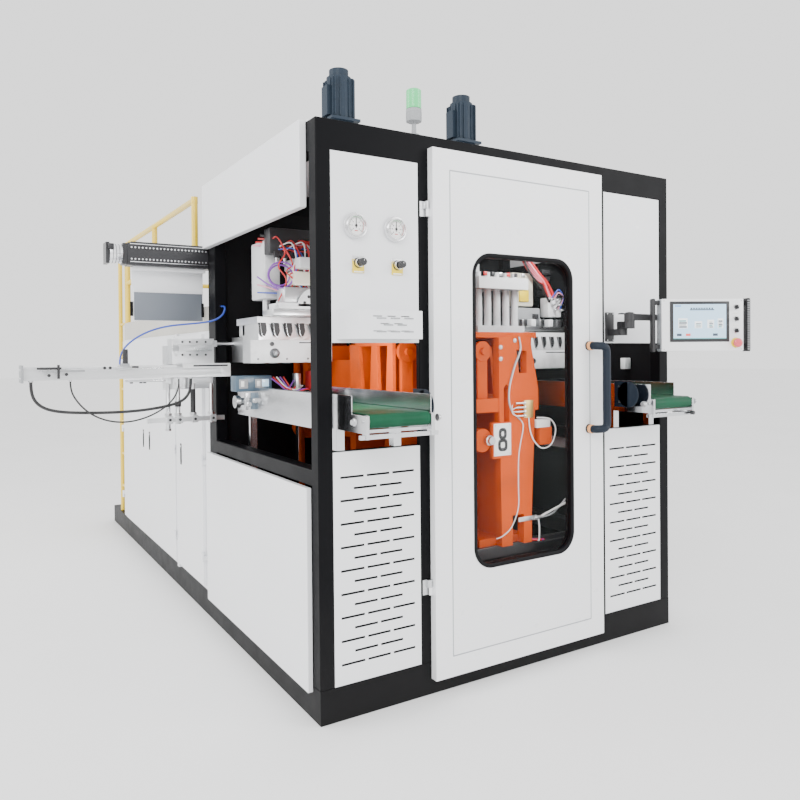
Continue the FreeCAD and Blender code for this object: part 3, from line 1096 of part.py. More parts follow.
# Take-out arm
def takeout_arm():
    top = "arm_beam_bottom + arm_beam_side"
    y = ("arm_beam_y", "arm_beam_y + arm_beam_side")
    beam = box("arm_beam", spans(("-arm_beam_out", "arm_beam_end"), y, ("arm_beam_bottom", top)))
    length = "arm_beam_out + arm_beam_end"
    slots = []
    for index, (across, up) in enumerate((("0", "0.25"), ("0", "0.75"), ("1", "0.25"), ("1", "0.75"))):
        edge = "arm_beam_y + %s * (arm_beam_side - beam_slot / 2)" % across
        slots.append(box("arm_slot_%d" % index, spans(
            ("-arm_beam_out - 1", "-arm_beam_out + %s - 60" % length), (edge, edge + " + beam_slot / 2"),
            ("arm_beam_bottom + %s * arm_beam_side - beam_slot / 2" % up,
             "arm_beam_bottom + %s * arm_beam_side + beam_slot / 2" % up))))
    glands = []
    for index, (x, width, height) in enumerate(((-985, 1343, 13), (-160, 1343, 13), (-800, 1320, 8),
                                                (-234, 1320, 8))):
        glands.append(rod("gland_%d" % index, str(height), "arm_beam_bottom - cord_end",
                          (from_left(x), from_front(width), "cord_end")))
    lug = box("hose_lug", spans((-576, -544), (1256, "arm_beam_y"), (1519, 1539)))
    fitting = rod("hose_fitting", "8", "8", (from_left(-560), from_front(1272), "1539"))
    node(fuse("arm", [cut("arm_slotted", beam, slots), lug, fitting] + glands), "takeout_beam")

    block = ("-block_out", "-block_in")
    plate = ("arm_beam_y + arm_beam_side + 4", "arm_beam_y + arm_beam_side + 4 + carrier_thickness")
    parts = [
        box("arm_block", spans(block, ("arm_beam_y - 10", plate[1]), ("block_bottom", "block_top"))),
        box("arm_carrier", spans(("-block_out - 30", "-block_in + 20"), plate,
                                 ("carrier_bottom", "block_top - 40"))),
        box("arm_shoe", spans(("-block_out + 10", "-block_in - 10"), ("arm_beam_y + 4", plate[0]),
                              (top + " + shoe_gap", "block_bottom"))),
        box("arm_bar", spans(("-bar_out", "bar_in"), ("arm_beam_y + 40", "arm_beam_y + 40 + bar_height"),
                             ("bar_bottom", "bar_bottom + bar_height"))),
    ]
    middle = "arm_beam_y + arm_beam_side + 4 + carrier_thickness / 2"
    for index, (x, low) in enumerate(((-277, "rod_bottom"), (-221, "bar_bottom - 12"),
                                      (-134, "bar_bottom - 6"),
                                      (-28, "bar_bottom - 12"))):
        parts.append(rod("arm_rod_%d" % index, "rod_radius", "(carrier_bottom + 30) - (%s)" % low,
                         (from_left(x), from_front(middle), low)))
        parts.append(box("arm_clamp_%d" % index, spans((x - 17, x + 17), ("arm_beam_y + 36", middle),
                                                       ("bar_bottom - 8", "bar_bottom + bar_height + 8"))))
    clevis = box("arm_clevis", spans(("-block_in - 2", "-block_in + 26"),
                                     ("mask_rod_y - 18", "mask_rod_y + 18"),
                                     ("mask_rod_height - 18", "mask_rod_height + 18")))
    hole = rod("arm_clevis_hole", "mask_rod_radius + reveal", "30",
               (from_left("-block_in"), from_front("mask_rod_y"),
                                                                 "mask_rod_height"), "x")
    node(cut("transfer", fuse("transfer_whole", parts + [clevis]), [hole]), "takeout_carriage")


# Servo axis beside the station
def side_axis():
    x = ("-axis_out", "axis_in")
    y = ("station_depth", "station_depth + axis_depth")
    z = ("axis_bottom", "axis_bottom + axis_height")
    side = ("axis_bottom + (axis_height - axis_motor_side) / 2",
            "axis_bottom + (axis_height + axis_motor_side) / 2")
    middle = "axis_bottom + axis_height / 2"
    parts = [
        box("axis_box", spans(x, y, z)),
        box("axis_coupling", spans(("-axis_out - 26", "-axis_out"),
                                   ("station_depth + 8", "station_depth + axis_depth - 8"),
                                   side)),
        rod("axis_motor", "axis_motor_side / 2 - 6", "axis_motor_length - 26 - 18",
            (from_left("-axis_out - axis_motor_length + 18"), from_front("station_depth + axis_depth / 2"),
             middle), "x"),
        box("axis_motor_cap", spans(("-axis_out - axis_motor_length", "-axis_out - axis_motor_length + 20"),
                                    ("station_depth + 6", "station_depth + axis_depth - 6"), side)),
        box("axis_cover", spans(("-axis_out + 20", "axis_in"),
                                ("station_depth + 14", "station_depth + axis_depth - 14"),
                                (z[1], z[1] + " + 8"))),
    ]
    for name, low in (("low", "axis_bottom + 22"), ("high", "axis_bottom + axis_height - 30")):
        parts.append(box("axis_strip_" + name, spans(("-axis_out + 12", "-8"),
                                                     ("station_depth - 4", "station_depth"),
                                                     (low, low + " + 8"))))
    node(fuse("axis", parts), "axis_housing")

    x = ("-plate_out", "-plate_in")
    y = ("station_depth + axis_depth - 10", "station_depth + axis_depth - 10 + hanging_thickness")
    shoe = "axis_bottom - shoe_gap"
    white = "%s - ledge_height - white_plate_height" % shoe
    parts = [
        box("ledge", spans(x, ("station_depth + 30", "station_depth + 30 + ledge_depth + 14"),
                           ("%s - ledge_height" % shoe, shoe))),
        box("white_plate", spans(x, y, (white, "%s - ledge_height" % shoe))),
        box("grey_plate", spans(("-plate_out + 8", "-plate_in - 4"), (y[0] + " - 6", y[1] + " - 2"),
                                (white + " - grey_plate_height", white + " + 20"))),
    ]
    node(fuse("plates", parts), "hanging_plates")


# Cabinets behind the station
def cabinets():
    wall = "cabinet_wall"
    outer = spans(("0", "base_width"), ("station_depth", "cabinet_back"), ("base_height", "cabinet_top"))
    inner = spans((wall, "base_width - " + wall), ("station_depth + " + wall, "cabinet_back - " + wall),
                  ("base_height + " + wall, "cabinet_top - " + wall))
    openings = []
    for index, (low, high) in enumerate((("service_front", "service_back"), ("double_front", "double_back"))):
        openings.append(box("cabinet_opening_%d" % index, spans(
            ("-" + wall, "2 * " + wall), (low + " + opening_inset", high + " - opening_inset"),
            ("leaf_bottom + opening_inset", "leaf_top - opening_inset"))))
    parts = [cut("cabinet_hollow", box("cabinet_outside", outer), [box("cabinet_inside", inner)] + openings),
             box("cabinet_divider", spans((wall, "base_width - " + wall),
                                          ("service_back + 20", "service_back + 44"),
                                          ("base_height + " + wall, "cabinet_top - " + wall))),
             box("cabinet_middle_post", spans(("-leaf_thickness", "0"),
                                              ("service_back + 2", "double_front - 26"),
                                              ("base_height", "cabinet_top"))),
             box("mounting_plate", spans(("600", "620"), ("double_front + 60", "double_back - 60"),
                                         ("base_height + " + wall, "leaf_top - 60")))]
    leaves = (("service_door", "service_front", "service_back", "front"),
              ("cabinet_door_front", "double_front", "double_middle - leaf_gap", "front"),
              ("cabinet_door_rear", "double_middle + leaf_gap", "double_back", "back"))
    doors = []
    for name, low, high, hinge in leaves:
        sheet_part = box(name + "_sheet", spans(("-leaf_thickness", "-leaf_gap"), (low, high),
                                                ("leaf_bottom", "leaf_top")))
        at = low if hinge == "front" else high
        sign = "-" if hinge == "front" else "+"
        axis_x, axis_y = "-leaf_thickness - leaf_pin_radius - 4.3", "%s %s leaf_hinge" % (at, sign)
        knuckles, bores = [], []
        for index, share in enumerate((0.12, 0.5, 0.88)):
            middle = "leaf_bottom + %s * (leaf_top - leaf_bottom)" % share
            knuckles.append(rod("%s_knuckle_%d" % (name, index), "leaf_pin_radius + 4", "30",
                                (from_left(axis_x), from_front(axis_y), middle)))
            knuckles.append(box("%s_tongue_%d" % (name, index), spans(
                ("-leaf_thickness - 12", "-leaf_thickness + 1"),
                (axis_y, at + " + 12") if hinge == "front" else (at + " - 12", axis_y),
                (middle, middle + " + 30"))))
            bores.append(rod("%s_bore_%d" % (name, index), "leaf_pin_radius + pin_clearance", "40",
                             (from_left(axis_x), from_front(axis_y), middle + " - 5")))
            parts.append(rod("%s_pin_%d" % (name, index), "leaf_pin_radius", "60",
                             (from_left(axis_x), from_front(axis_y), middle + " - 30")))
            parts.append(rod("%s_barrel_%d" % (name, index), "leaf_pin_radius + 4", "29.5",
                             (from_left(axis_x), from_front(axis_y), middle + " - 30")))
            parts.append(box("%s_web_%d" % (name, index), spans(
                ("-leaf_thickness - 12", "0"),
                (axis_y + " - 3", axis_y + " + 3"), (middle + " - 30", middle + " - 0.5"))))
        slots = [box(name + "_latch", spans(("-2 * leaf_thickness", "-leaf_thickness + 6"),
                                            ("%s_latch - 12" % name, "%s_latch + 12" % name), (865, 1000)))]
        doors.append(cut(name + "_leaf", fuse(name + "_whole", [sheet_part] + knuckles), bores + slots))
        node(doors[-1], name)
    node(fuse("cabinet", parts), "cabinet_shell")


# Platform, railing, ladder
def platform():
    top = "cabinet_top + deck_height"
    deck = box("deck_slab", spans(("0", "base_width"), ("station_depth + 5", "deck_back"),
                                  ("cabinet_top", top)))
    node(deck, "platform_deck")
    x_left, x_right = "rail_inset", "base_width - rail_inset"
    parts = []
    for i, x in enumerate((x_left, x_right)):
        for j, y in enumerate(("first_post", "middle_post", "deck_back - rail_inset")):
            parts.append(rod("rail_post_%d%d" % (i, j), "rail_post_radius", "rail_top - (%s)" % top,
                             (from_left(x), from_front(y), top)))
            parts.append(rod("rail_foot_%d%d" % (i, j), "rail_post_radius + 9", "8",
                             (from_left(x), from_front(y), top)))
        end = ("ladder_foot", "deck_back - rail_inset")[i]
        for j, z in enumerate(("rail_top", "rail_mid")):
            stop = end if j == 0 else "deck_back - rail_inset"
            parts.append(rod("rail_%d%d" % (i, j), "rail_radius", "(%s) - first_post" % stop,
                             (from_left(x), from_front("first_post"), z), "y"))
    for j, z in enumerate(("rail_top", "rail_mid")):
        parts.append(rod("rail_across_%d" % j, "rail_radius - 0.5", "base_width - 2 * rail_inset",
                         (from_left(x_left), from_front("deck_back - rail_inset"), z), "x"))
    for index, (x, y, z) in enumerate(((x_left, "first_post", "rail_top"),
                                       (x_right, "first_post", "rail_top"),
                                       (x_left, "ladder_foot", "rail_top"),
                                       (x_right, "deck_back - rail_inset", "rail_top"))):
        parts.append(rod("rail_cap_%d" % index, "rail_post_radius + 1", "2 * rail_radius",
                         (from_left(x), from_front(y), z + " - rail_radius")))
    near = "deck_back + 24"
    for index, y in enumerate((near, "ladder_foot")):
        parts.append(rod("stile_%d" % index, "rail_radius - 1", "rail_top - base_height",
                         (from_left(x_left), from_front(y), "base_height")))
    for index in range(6):
        parts.append(rod("rung_%d" % index, "rung_radius", "ladder_foot - (%s)" % near,
                         (from_left(x_left), from_front(near),
                          "base_height + 240 + %d * rung_pitch" % index), "y"))
    pipes = fuse("railing_pipes", parts)
    pipes.Refine = False
    node(pipes, "railing")


def beacon():
    place = (from_left("beacon_x"), from_front("beacon_y"))
    pole = rod("beacon_tube", "beacon_pole_radius", "beacon_pole + 2", place + ("frame_height",))
    foot = rod("beacon_foot", "2 * beacon_pole_radius", "6", place + ("frame_height",))
    base = rod("beacon_base", "lamp_radius", "lamp_base", place + ("frame_height + beacon_pole",))
    lens = rod("beacon_lens", "lamp_radius - 1", "lamp_lens - 10",
               place + ("frame_height + beacon_pole + lamp_base",))
    tip = cone("beacon_tip", "lamp_radius - 1", "lamp_radius - 12", "10",
               place + ("frame_height + beacon_pole + lamp_base + lamp_lens - 10",))
    node(fuse("beacon_lamp", [pole, foot, base, lens, tip]), "beacon")


# Cables and hose
def cords():
    for name, (diameter, route) in CORDS.items():
        points = [Vector(x - S.base_width / 2, y - S.base_depth / 2, z) for x, y, z in route]
        runs = [(b - a).Length for a, b in zip(points, points[1:])]
        radii = []
        for index in range(1, len(points) - 1):
            back, ahead = points[index] - points[index - 1], points[index + 1] - points[index]
            turn = back.getAngle(ahead)
            radii.append(0.45 * min(runs[index - 1], runs[index]) / math.tan(turn / 2))
        path = bent_path(points, radii)
        shape = tube(path, diameter / 2)
        print("%s: smallest radius %.0f, longest run %.0f, volume ratio %.4f" % (
            name, min(radii), max(runs), shape.Volume / (math.pi * diameter ** 2 / 4 * path.Length)))
        node(fixed_shape(name + "_tube", shape), name)


for make in (base_frame, main_frame, roof_and_screens, upper_panels, vent_panels, outlet_hood, side_sheets,
             door,
             air_fittings, operator_panel, conveyors, clamps, blow_stations, extruder, neck_masks,
             takeout_arm,
             side_axis, cabinets, platform, beacon, cords):
    make()
doc.recompute()

for item in doc.Objects:
    if "Invalid" in item.State or "Error" in item.State:
        raise RuntimeError("%s did not build: %s" % (item.Name, item.State))
    if hasattr(item, "Shape") and (item.Shape.isNull() or not item.Shape.isValid()):
        raise RuntimeError("%s has no valid shape" % item.Name)

os.makedirs("parts", exist_ok=True)
for item in NODES:
    item.Shape.exportStep("parts/%s.step" % item.Label)
    size = item.Shape.BoundBox
    print("%-22s %d solids  x %.0f..%.0f  y %.0f..%.0f  z %.0f..%.0f" % (
        item.Label, len(item.Shape.Solids), size.XMin, size.XMax, size.YMin, size.YMax, size.ZMin, size.ZMax))
print("%d nodes" % len(NODES))
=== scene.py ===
import json
import math
import bmesh
import bpy
import numpy as np
from mathutils import Matrix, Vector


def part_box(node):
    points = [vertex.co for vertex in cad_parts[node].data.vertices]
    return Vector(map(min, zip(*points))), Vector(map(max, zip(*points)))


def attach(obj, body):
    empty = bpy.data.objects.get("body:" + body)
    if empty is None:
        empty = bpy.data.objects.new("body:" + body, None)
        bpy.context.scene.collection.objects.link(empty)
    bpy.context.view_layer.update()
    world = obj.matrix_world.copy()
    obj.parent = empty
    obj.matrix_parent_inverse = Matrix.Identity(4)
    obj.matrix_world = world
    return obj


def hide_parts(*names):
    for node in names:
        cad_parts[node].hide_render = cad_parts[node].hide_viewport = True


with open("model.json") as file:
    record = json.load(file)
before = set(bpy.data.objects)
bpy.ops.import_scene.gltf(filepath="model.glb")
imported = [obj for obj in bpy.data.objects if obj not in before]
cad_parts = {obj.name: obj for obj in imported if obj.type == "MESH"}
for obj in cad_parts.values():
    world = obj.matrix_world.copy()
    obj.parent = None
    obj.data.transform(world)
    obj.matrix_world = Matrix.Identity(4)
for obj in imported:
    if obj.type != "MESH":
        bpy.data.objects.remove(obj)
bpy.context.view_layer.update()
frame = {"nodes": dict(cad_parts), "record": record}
print("frame loaded")

machine = {"width": 2.26, "depth": 4.59}


# millimetres from the left edge, the front edge and the floor, as metres in the frame
def at(x, y, z):
    return np.array([x / 1000 - machine["width"] / 2, y / 1000 - machine["depth"] / 2, z / 1000])


# flat outline in the plane of X and Z, from millimetres
def upright(points):
    return np.array([at(x, 0, z)[[0, 2]] for x, z in points])


# radius in millimetres that closes a turned part at its axis, and the six directions
tip = 0.1
toLeft, toRight, toFront = (-1, 0, 0), (1, 0, 0), (0, -1, 0)
toBack, toFloor, toTop = (0, 1, 0), (0, 0, -1), (0, 0, 1)


# surfaces: every part of a piece is a grid of points, gathered in one Shape
class Shape:
    def __init__(self):
        self.points, self.faces, self.looks, self.count = [], [], [], 0

    # quads between neighbouring rows and columns; the columns close round, and the end rows may be capped
    def grid(self, points, look=0, closed=True, caps=True, ends=True):
        rows, columns = points.shape[:2]
        index = np.arange(rows * columns).reshape(rows, columns) + self.count
        ahead = np.roll(index, -1, axis=1) if closed else index[:, 1:]
        here = index if closed else index[:, :-1]
        quads = np.stack([here[:-1], ahead[:-1], ahead[1:], here[1:]], axis=-1).reshape(-1, 4)
        faces = quads.tolist()
        if caps and closed:
            faces.append(index[0][::-1].tolist())
            if ends:
                faces.append(index[-1].tolist())
        self.points.append(points.reshape(-1, 3))
        self.faces += faces
        self.looks += [look] * len(faces)
        self.count += rows * columns
        return self

    # a block with rounded edges: a ball whose eight octants are pushed apart by the half sizes
    def block(self, low, high, edge, look=0, turn=0.0):
        low, high = np.minimum(low, high), np.maximum(low, high)
        half, steps = (high - low) / 2, 3
        edge = min(edge, *(half * 0.98))
        quarter = np.linspace(0, math.pi / 2, steps)
        across = np.concatenate([quarter + k * math.pi / 2 for k in range(4)])
        up = np.concatenate([quarter - math.pi / 2, quarter])
        signX, signY = np.repeat([1, -1, -1, 1], steps), np.repeat([1, 1, -1, -1], steps)
        signZ = np.repeat([-1, 1], steps)
        tilt, swing = np.meshgrid(up, across, indexing="ij")
        ball = np.stack([np.cos(tilt) * np.cos(swing), np.cos(tilt) * np.sin(swing), np.sin(tilt)], axis=-1)
        push = np.stack([np.broadcast_to(signX, tilt.shape), np.broadcast_to(signY, tilt.shape),
                         np.broadcast_to(signZ[:, None], tilt.shape)], axis=-1)
        points = push * (half - edge) + ball * edge
        if turn:
            c, s = math.cos(turn), math.sin(turn)
            points = points @ np.array([[c, s, 0], [-s, c, 0], [0, 0, 1]])
        return self.grid(points + (low + high) / 2, look)

    # a turned part: radius as a function of the distance along an axis, spun about it
    def turned(self, start, axis, profile, look=0, sides=28, ends=True):
        axis = np.asarray(axis, float) / np.linalg.norm(axis)
        side = np.cross(axis, [0, 0, 1] if abs(axis[2]) < 0.9 else [1, 0, 0])
        side /= np.linalg.norm(side)
        other = np.cross(axis, side)
        spin = np.linspace(0, 2 * math.pi, sides, endpoint=False)
        ring = np.cos(spin)[:, None] * side + np.sin(spin)[:, None] * other
        profile = np.asarray(profile, float)
        points = np.asarray(start) + profile[:, :1, None] * axis + profile[:, 1:2, None] * ring[None]
        return self.grid(points, look, ends=ends)

    # a round bar along a path: circles across the path's own direction, radius constant or a row of values
    def pipe(self, path, radius, look=0, sides=10, smooth=0):
        path = np.asarray(path, float)
        if smooth:
            path = rounded(path, smooth)
        along = np.gradient(path, axis=0)
        along /= np.linalg.norm(along, axis=1)[:, None] + 1e-12
        lean = np.array([0.31, 0.22, 0.93]) if abs(along[:, 2]).mean() < 0.7 else np.array([0.9, 0.35, 0.2])
        side = np.cross(along, lean)
        side /= np.linalg.norm(side, axis=1)[:, None] + 1e-12
        other = np.cross(along, side)
        spin = np.linspace(0, 2 * math.pi, sides, endpoint=False)
        size = np.broadcast_to(np.asarray(radius, float), (len(path),))[:, None, None]
        ring = np.cos(spin)[None, :, None] * side[:, None] + np.sin(spin)[None, :, None] * other[:, None]
        return self.grid(path[:, None] + size * ring, look)

    # a flat plate of any outline in the plane of two axes, its edges eased: four rings of the same outline
    def plate(self, outline, low, high, axis=1, edge=0.001, look=0):
        outline = np.asarray(outline, float)
        middle = outline.mean(axis=0)
        reach = np.abs(outline - middle).max(axis=0)
        inset = middle + (outline - middle) * (1 - min(edge, reach.min() / 2) / reach)
        rings = []
        for level, flat in ((low, inset), (low + edge, outline), (high - edge, outline), (high, inset)):
            rings.append(np.insert(flat, axis, level, axis=1))
        return self.grid(np.array(rings), look)

    # a flat ring or frame: an outer and an inner outline of as many points, front and back
    def ring(self, outer, inner, low, high, axis=1, look=0):
        rows = []
        for flat, level in ((outer, low), (inner, low), (inner, high), (outer, high), (outer, low)):
            rows.append(np.insert(np.asarray(flat, float), axis, level, axis=1))
        return self.grid(np.array(rows), look, caps=False)

    # rounded blocks from rows in millimetres: two opposite corners, the edge radius and the look
    def blocks(self, *rows):
        for row in rows:
            self.block(at(*row[:3]), at(*row[3:6]), row[6] / 1000, row[7])

    # a turned stud: rows of distance along the axis and radius in millimetres, closed at its far end
    def stud(self, spot, axis, rows, look=0, sides=28):
        profile = [(along / 1000, radius / 1000) for along, radius in rows]
        if rows[-1][1] > tip:
            profile.append((profile[-1][0], tip / 1000))
        return self.turned(spot, axis, profile, look, sides)

    # a hose or wire through points in millimetres
    def hose(self, path, radius, look=0, smooth=8):
        return self.pipe([at(*p) for p in path], radius / 1000, look, 8 if smooth != 4 else 6, smooth)

    def piece(self, name, body, finish, slot, smooth=0.6, bevel=0.0, replaces=()):
        mesh = bpy.data.meshes.new(name)
        mesh.from_pydata(np.concatenate(self.points).tolist(), [], self.faces)
        for look in finish.split():
            mesh.materials.append(looks[look])
        mesh.polygons.foreach_set("material_index", np.array(self.looks, np.int32))
        tidy = bmesh.new()
        tidy.from_mesh(mesh)
        bmesh.ops.remove_doubles(tidy, verts=tidy.verts, dist=1e-6)
        bmesh.ops.recalc_face_normals(tidy, faces=tidy.faces)
        tidy.to_mesh(mesh)
        tidy.free()
        return settle(mesh, name, body, smooth, bevel, replaces)


# a curve through the points: Catmull-Rom spans, each sampled the same number of times
def rounded(path, steps):
    path = np.asarray(path, float)
    ends = np.concatenate([[2 * path[0] - path[1]], path, [2 * path[-1] - path[-2]]])
    t = np.linspace(0, 1, steps, endpoint=False)[None, :, None]
    a, b, c, d = (ends[k:len(ends) - 3 + k][:, None] for k in range(4))
    curve = 2 * b + (c - a) * t + (2 * a - 5 * b + 4 * c - d) * t ** 2
    curve = 0.5 * (curve + (3 * b - a - 3 * c + d) * t ** 3)
    return np.concatenate([curve.reshape(-1, 3), path[-1:]])


# a rectangle with round corners as a closed outline of equal steps round each corner
def roundedOutline(low, high, radius, steps=6):
    spin = np.linspace(0, math.pi / 2, steps)
    corners = []
    for k, (x, z) in enumerate(((high[0], high[1]), (low[0], high[1]), (low[0], low[1]), (high[0], low[1]))):
        inX = x - math.copysign(radius, x - (low[0] + high[0]) / 2)
        inZ = z - math.copysign(radius, z - (low[1] + high[1]) / 2)
        corners.append(np.stack([inX + radius * np.cos(spin + k * math.pi / 2),
                                 inZ + radius * np.sin(spin + k * math.pi / 2)], axis=1))
    return np.concatenate(corners)


def settle(mesh, name, body, smooth=0.6, bevel=0.0, replaces=()):
    piece = bpy.data.objects.new(name, mesh)
    bpy.context.scene.collection.objects.link(piece)
    if smooth:
        mesh.shade_smooth()
        mesh.set_sharp_from_angle(angle=smooth)
    if bevel:
        ease = piece.modifiers.new("ease", "BEVEL")
        ease.width, ease.segments, ease.limit_method, ease.angle_limit = bevel, 2, "ANGLE", 0.6
    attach(piece, body)
    if replaces:
        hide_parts(*replaces)
    return piece


bodyOf = {node: body for body, members in frame["record"]["behaviour"]["bodies"].items() for node in members}


# a CAD part with eased edges: its triangles merged to flat faces, then a small bevel on each sharp edge
def eased(node, look, bevel=0.0015, smooth=0.5):
    mesh = frame["nodes"][node].data.copy()
    tidy = bmesh.new()
    tidy.from_mesh(mesh)
    bmesh.ops.remove_doubles(tidy, verts=tidy.verts, dist=2e-6)
    bmesh.ops.dissolve_limit(tidy, angle_limit=0.01, verts=tidy.verts, edges=tidy.edges)
    tidy.to_mesh(mesh)
    tidy.free()
    mesh.materials.clear()
    mesh.materials.append(look)
    return settle(mesh, node + "_body", bodyOf[node], smooth, bevel, [node])


def dress(node, look):
    part = frame["nodes"][node]
    part.data.materials.clear()
    part.data.materials.append(look)


# finishes: Wire wraps a socket, so sums and products of wires add Math nodes
class Wire:
    def __init__(self, look, socket):
        self.look, self.socket = look, socket

    def maths(self, operation, *values):
        return self.look.node("ShaderNodeMath", {"operation": operation}, values)

    def __add__(self, other):
        return self.maths("ADD", self, other)

    def __sub__(self, other):
        return self.maths("SUBTRACT", self, other)

    def __rsub__(self, other):
        return self.maths("SUBTRACT", other, self)

    def __mul__(self, other):
        return self.maths("MULTIPLY", self, other)

    __radd__, __rmul__ = __add__, __mul__


class Look:
    def __init__(self, name, colour, roughness=0.5, metallic=0.0, coat=0.0, **more):
        self.material = bpy.data.materials.new(name)
        self.material.use_nodes = True
        self.tree = self.material.node_tree
        self.shader = self.tree.nodes["Principled BSDF"]
        values = {"Base Color": (*colour, 1.0), "Roughness": roughness, "Metallic": metallic,
                  "Coat Weight": coat}
        for socket, value in {**values, **more}.items():
            self.shader.inputs[socket.replace("_", " ")].default_value = value
        self.coordinates = self.node("ShaderNodeTexCoord", {}, [], "Object")

    # any node: its type, settings that are set first, then the values or links of its sockets
    def node(self, kind, settings, values, output=0):
        made = self.tree.nodes.new(kind)
        for setting, value in settings.items():
            setattr(made, setting, value)
        pairs = values.items() if isinstance(values, dict) else enumerate(values)
        for socket, value in pairs:
            if isinstance(value, Wire):
                self.tree.links.new(value.socket, made.inputs[socket])
            else:
                made.inputs[socket].default_value = value
        return Wire(self, made.outputs[output])

    def noise(self, scale, detail=3.0, rough=0.55, stretch=None):
        source = self.coordinates
        if stretch:
            source = self.node("ShaderNodeMapping", {}, {"Vector": source, "Scale": stretch})
        return self.node("ShaderNodeTexNoise", {},
                         {"Vector": source, "Scale": scale, "Detail": detail, "Roughness": rough})

    def axis(self, name):
        return self.node("ShaderNodeSeparateXYZ", {}, [self.coordinates], name)

    def ramp(self, value, low, high):
        return self.node("ShaderNodeMapRange", {}, {"Value": value, "From Min": low, "From Max": high})

    def mix(self, mask, first, second):
        first, second = (tone if isinstance(tone, Wire) else (*tone, 1.0) for tone in (first, second))
        return self.node("ShaderNodeMix", {"data_type": "RGBA"}, {0: mask, 6: first, 7: second}, 2)

    def feed(self, **wires):
        for socket, wire in wires.items():
            self.tree.links.new(wire.socket, self.shader.inputs[socket.replace("_", " ")])
        return self

    def bump(self, height, distance=0.001, strength=1.0):
        return self.feed(Normal=self.node("ShaderNodeBump", {},
                                          {"Height": height, "Distance": distance, "Strength": strength}))


def shade(colour, factor):
    return tuple(min(1.0, channel * factor) for channel in colour)


# sprayed sheet metal: faint cloudy tone, dust towards the bottom, orange-peel bump
def paintLook(name, colour, roughness=0.35, coat=0.3, cloud=0.06, peel=0.00012, dust=0.0, shine=0.5):
    look = Look(name, colour, roughness, 0.0, coat, Specular_IOR_Level=shine)
    mist = look.noise(2.6, 4.0)
    tone = look.mix(mist, shade(colour, 1 - cloud), shade(colour, 1 + cloud / 2))
    if dust:
        low = look.ramp(look.axis("Z") + mist * 0.25, 0.75, 0.1)
        tone = look.mix(low * dust, tone, (0.45, 0.43, 0.4))
    look.feed(Base_Color=tone, Roughness=roughness + (look.noise(9.0) - 0.5) * 0.18)
    look.bump(look.noise(260.0, 2.0), peel)
    return look.material


# bare metal: streaks along one axis in roughness and bump, a slight tarnish
def metalLook(name, colour, roughness=0.3, stretch=(4, 60, 60), streak=0.14, tarnish=0.2):
    look = Look(name, colour, roughness, 1.0)
    lines = look.noise(14.0, 5.0, 0.6, stretch)
    stain = look.ramp(look.noise(5.0, 5.0), 0.45, 0.75)
    look.feed(Base_Color=look.mix(stain * tarnish, colour, shade(colour, 0.55)),
              Roughness=roughness + (lines - 0.5) * streak * 2 + stain * 0.1)
    look.bump(lines, 0.00012)
    return look.material


# moulded plastic or rubber: fine grain, and a slightly worn tone
def grainLook(name, colour, roughness=0.55, coat=0.0, grain=0.0002, scale=420.0, wear=0.12, shine=0.5):
    look = Look(name, colour, roughness, 0.0, coat, Specular_IOR_Level=shine)
    worn = look.ramp(look.noise(14.0, 4.0), 0.4, 0.8)
    look.feed(Base_Color=look.mix(worn * wear, colour, shade(colour, 1.9)),
              Roughness=roughness + (look.noise(30.0) - 0.5) * 0.15)
    look.bump(look.noise(scale, 2.0), grain)
    return look.material


# castings under paint: lumpy bump, chips and oily patches
def castLook(name, colour, roughness=0.42, chips=0.25, lump=0.0006, coat=0.25, shine=0.5):
    look = Look(name, colour, roughness, 0.0, coat, Specular_IOR_Level=shine)
    oil = look.ramp(look.noise(7.0, 5.0, 0.6), 0.5, 0.72)
    chip = look.ramp(look.noise(55.0, 3.0, 0.7), 0.66, 0.7)
    tone = look.mix(oil * 0.45, colour, shade(colour, 0.45))
    look.feed(Base_Color=look.mix(chip * chips, tone, (0.16, 0.15, 0.14)),
              Roughness=roughness + (0.5 - oil) * 0.22)
    look.bump(look.noise(38.0, 4.0) + chip * -0.4, lump)
    return look.material


# clear sheet for the window: mostly see-through, faint dust
def glassLook():
    look = Look("window glass", (0.2, 0.22, 0.22), 0.06, 0.0, 0.0, IOR=1.45, Specular_IOR_Level=0.08)
    film = look.ramp(look.noise(3.0, 4.0), 0.35, 0.85)
    look.feed(Alpha=film * 0.02 + 0.015, Roughness=film * 0.12 + 0.04)
    return look.material


# woven-back belt: green cover with fine cross ribs and rubbed patches
def beltLook():
    look = Look("green belt", (0.0, 0.06, 0.025), 0.5, 0.0, 0.0, Specular_IOR_Level=0.2)
    rub = look.ramp(look.noise(9.0, 5.0), 0.42, 0.75)
    ribs = look.node("ShaderNodeTexWave", {"bands_direction": "Y"},
                     {"Vector": look.coordinates, "Scale": 110.0, "Distortion": 0.3})
    look.feed(Base_Color=look.mix(rub * 0.4, (0.0, 0.06, 0.025), (0.01, 0.12, 0.06)),
              Roughness=0.42 + rub * 0.2)
    look.bump(ribs, 0.0002)
    return look.material


# a lit screen colour: glossy, with a little light of its own
def lit(name, colour, strength=0.6):
    look = Look(name, colour, 0.12, 0.0, 0.5, Emission_Strength=strength)
    look.feed(Emission_Color=look.mix(look.noise(6.0, 2.0), colour, shade(colour, 1.25)))
    return look.material


# green lens: glossy and glowing, with a painted highlight that makes it brighter towards its top
def lensLook():
    look = Look("beacon green", (0.05, 0.5, 0.16), 0.15, 0.0, 0.6, Emission_Strength=0.35)
    topHighlight = look.ramp(look.axis("Z"), 2.72, 2.82)
    look.feed(Emission_Color=look.mix(topHighlight, (0.1, 0.9, 0.3), (0.25, 0.95, 0.5)))
    return look.material


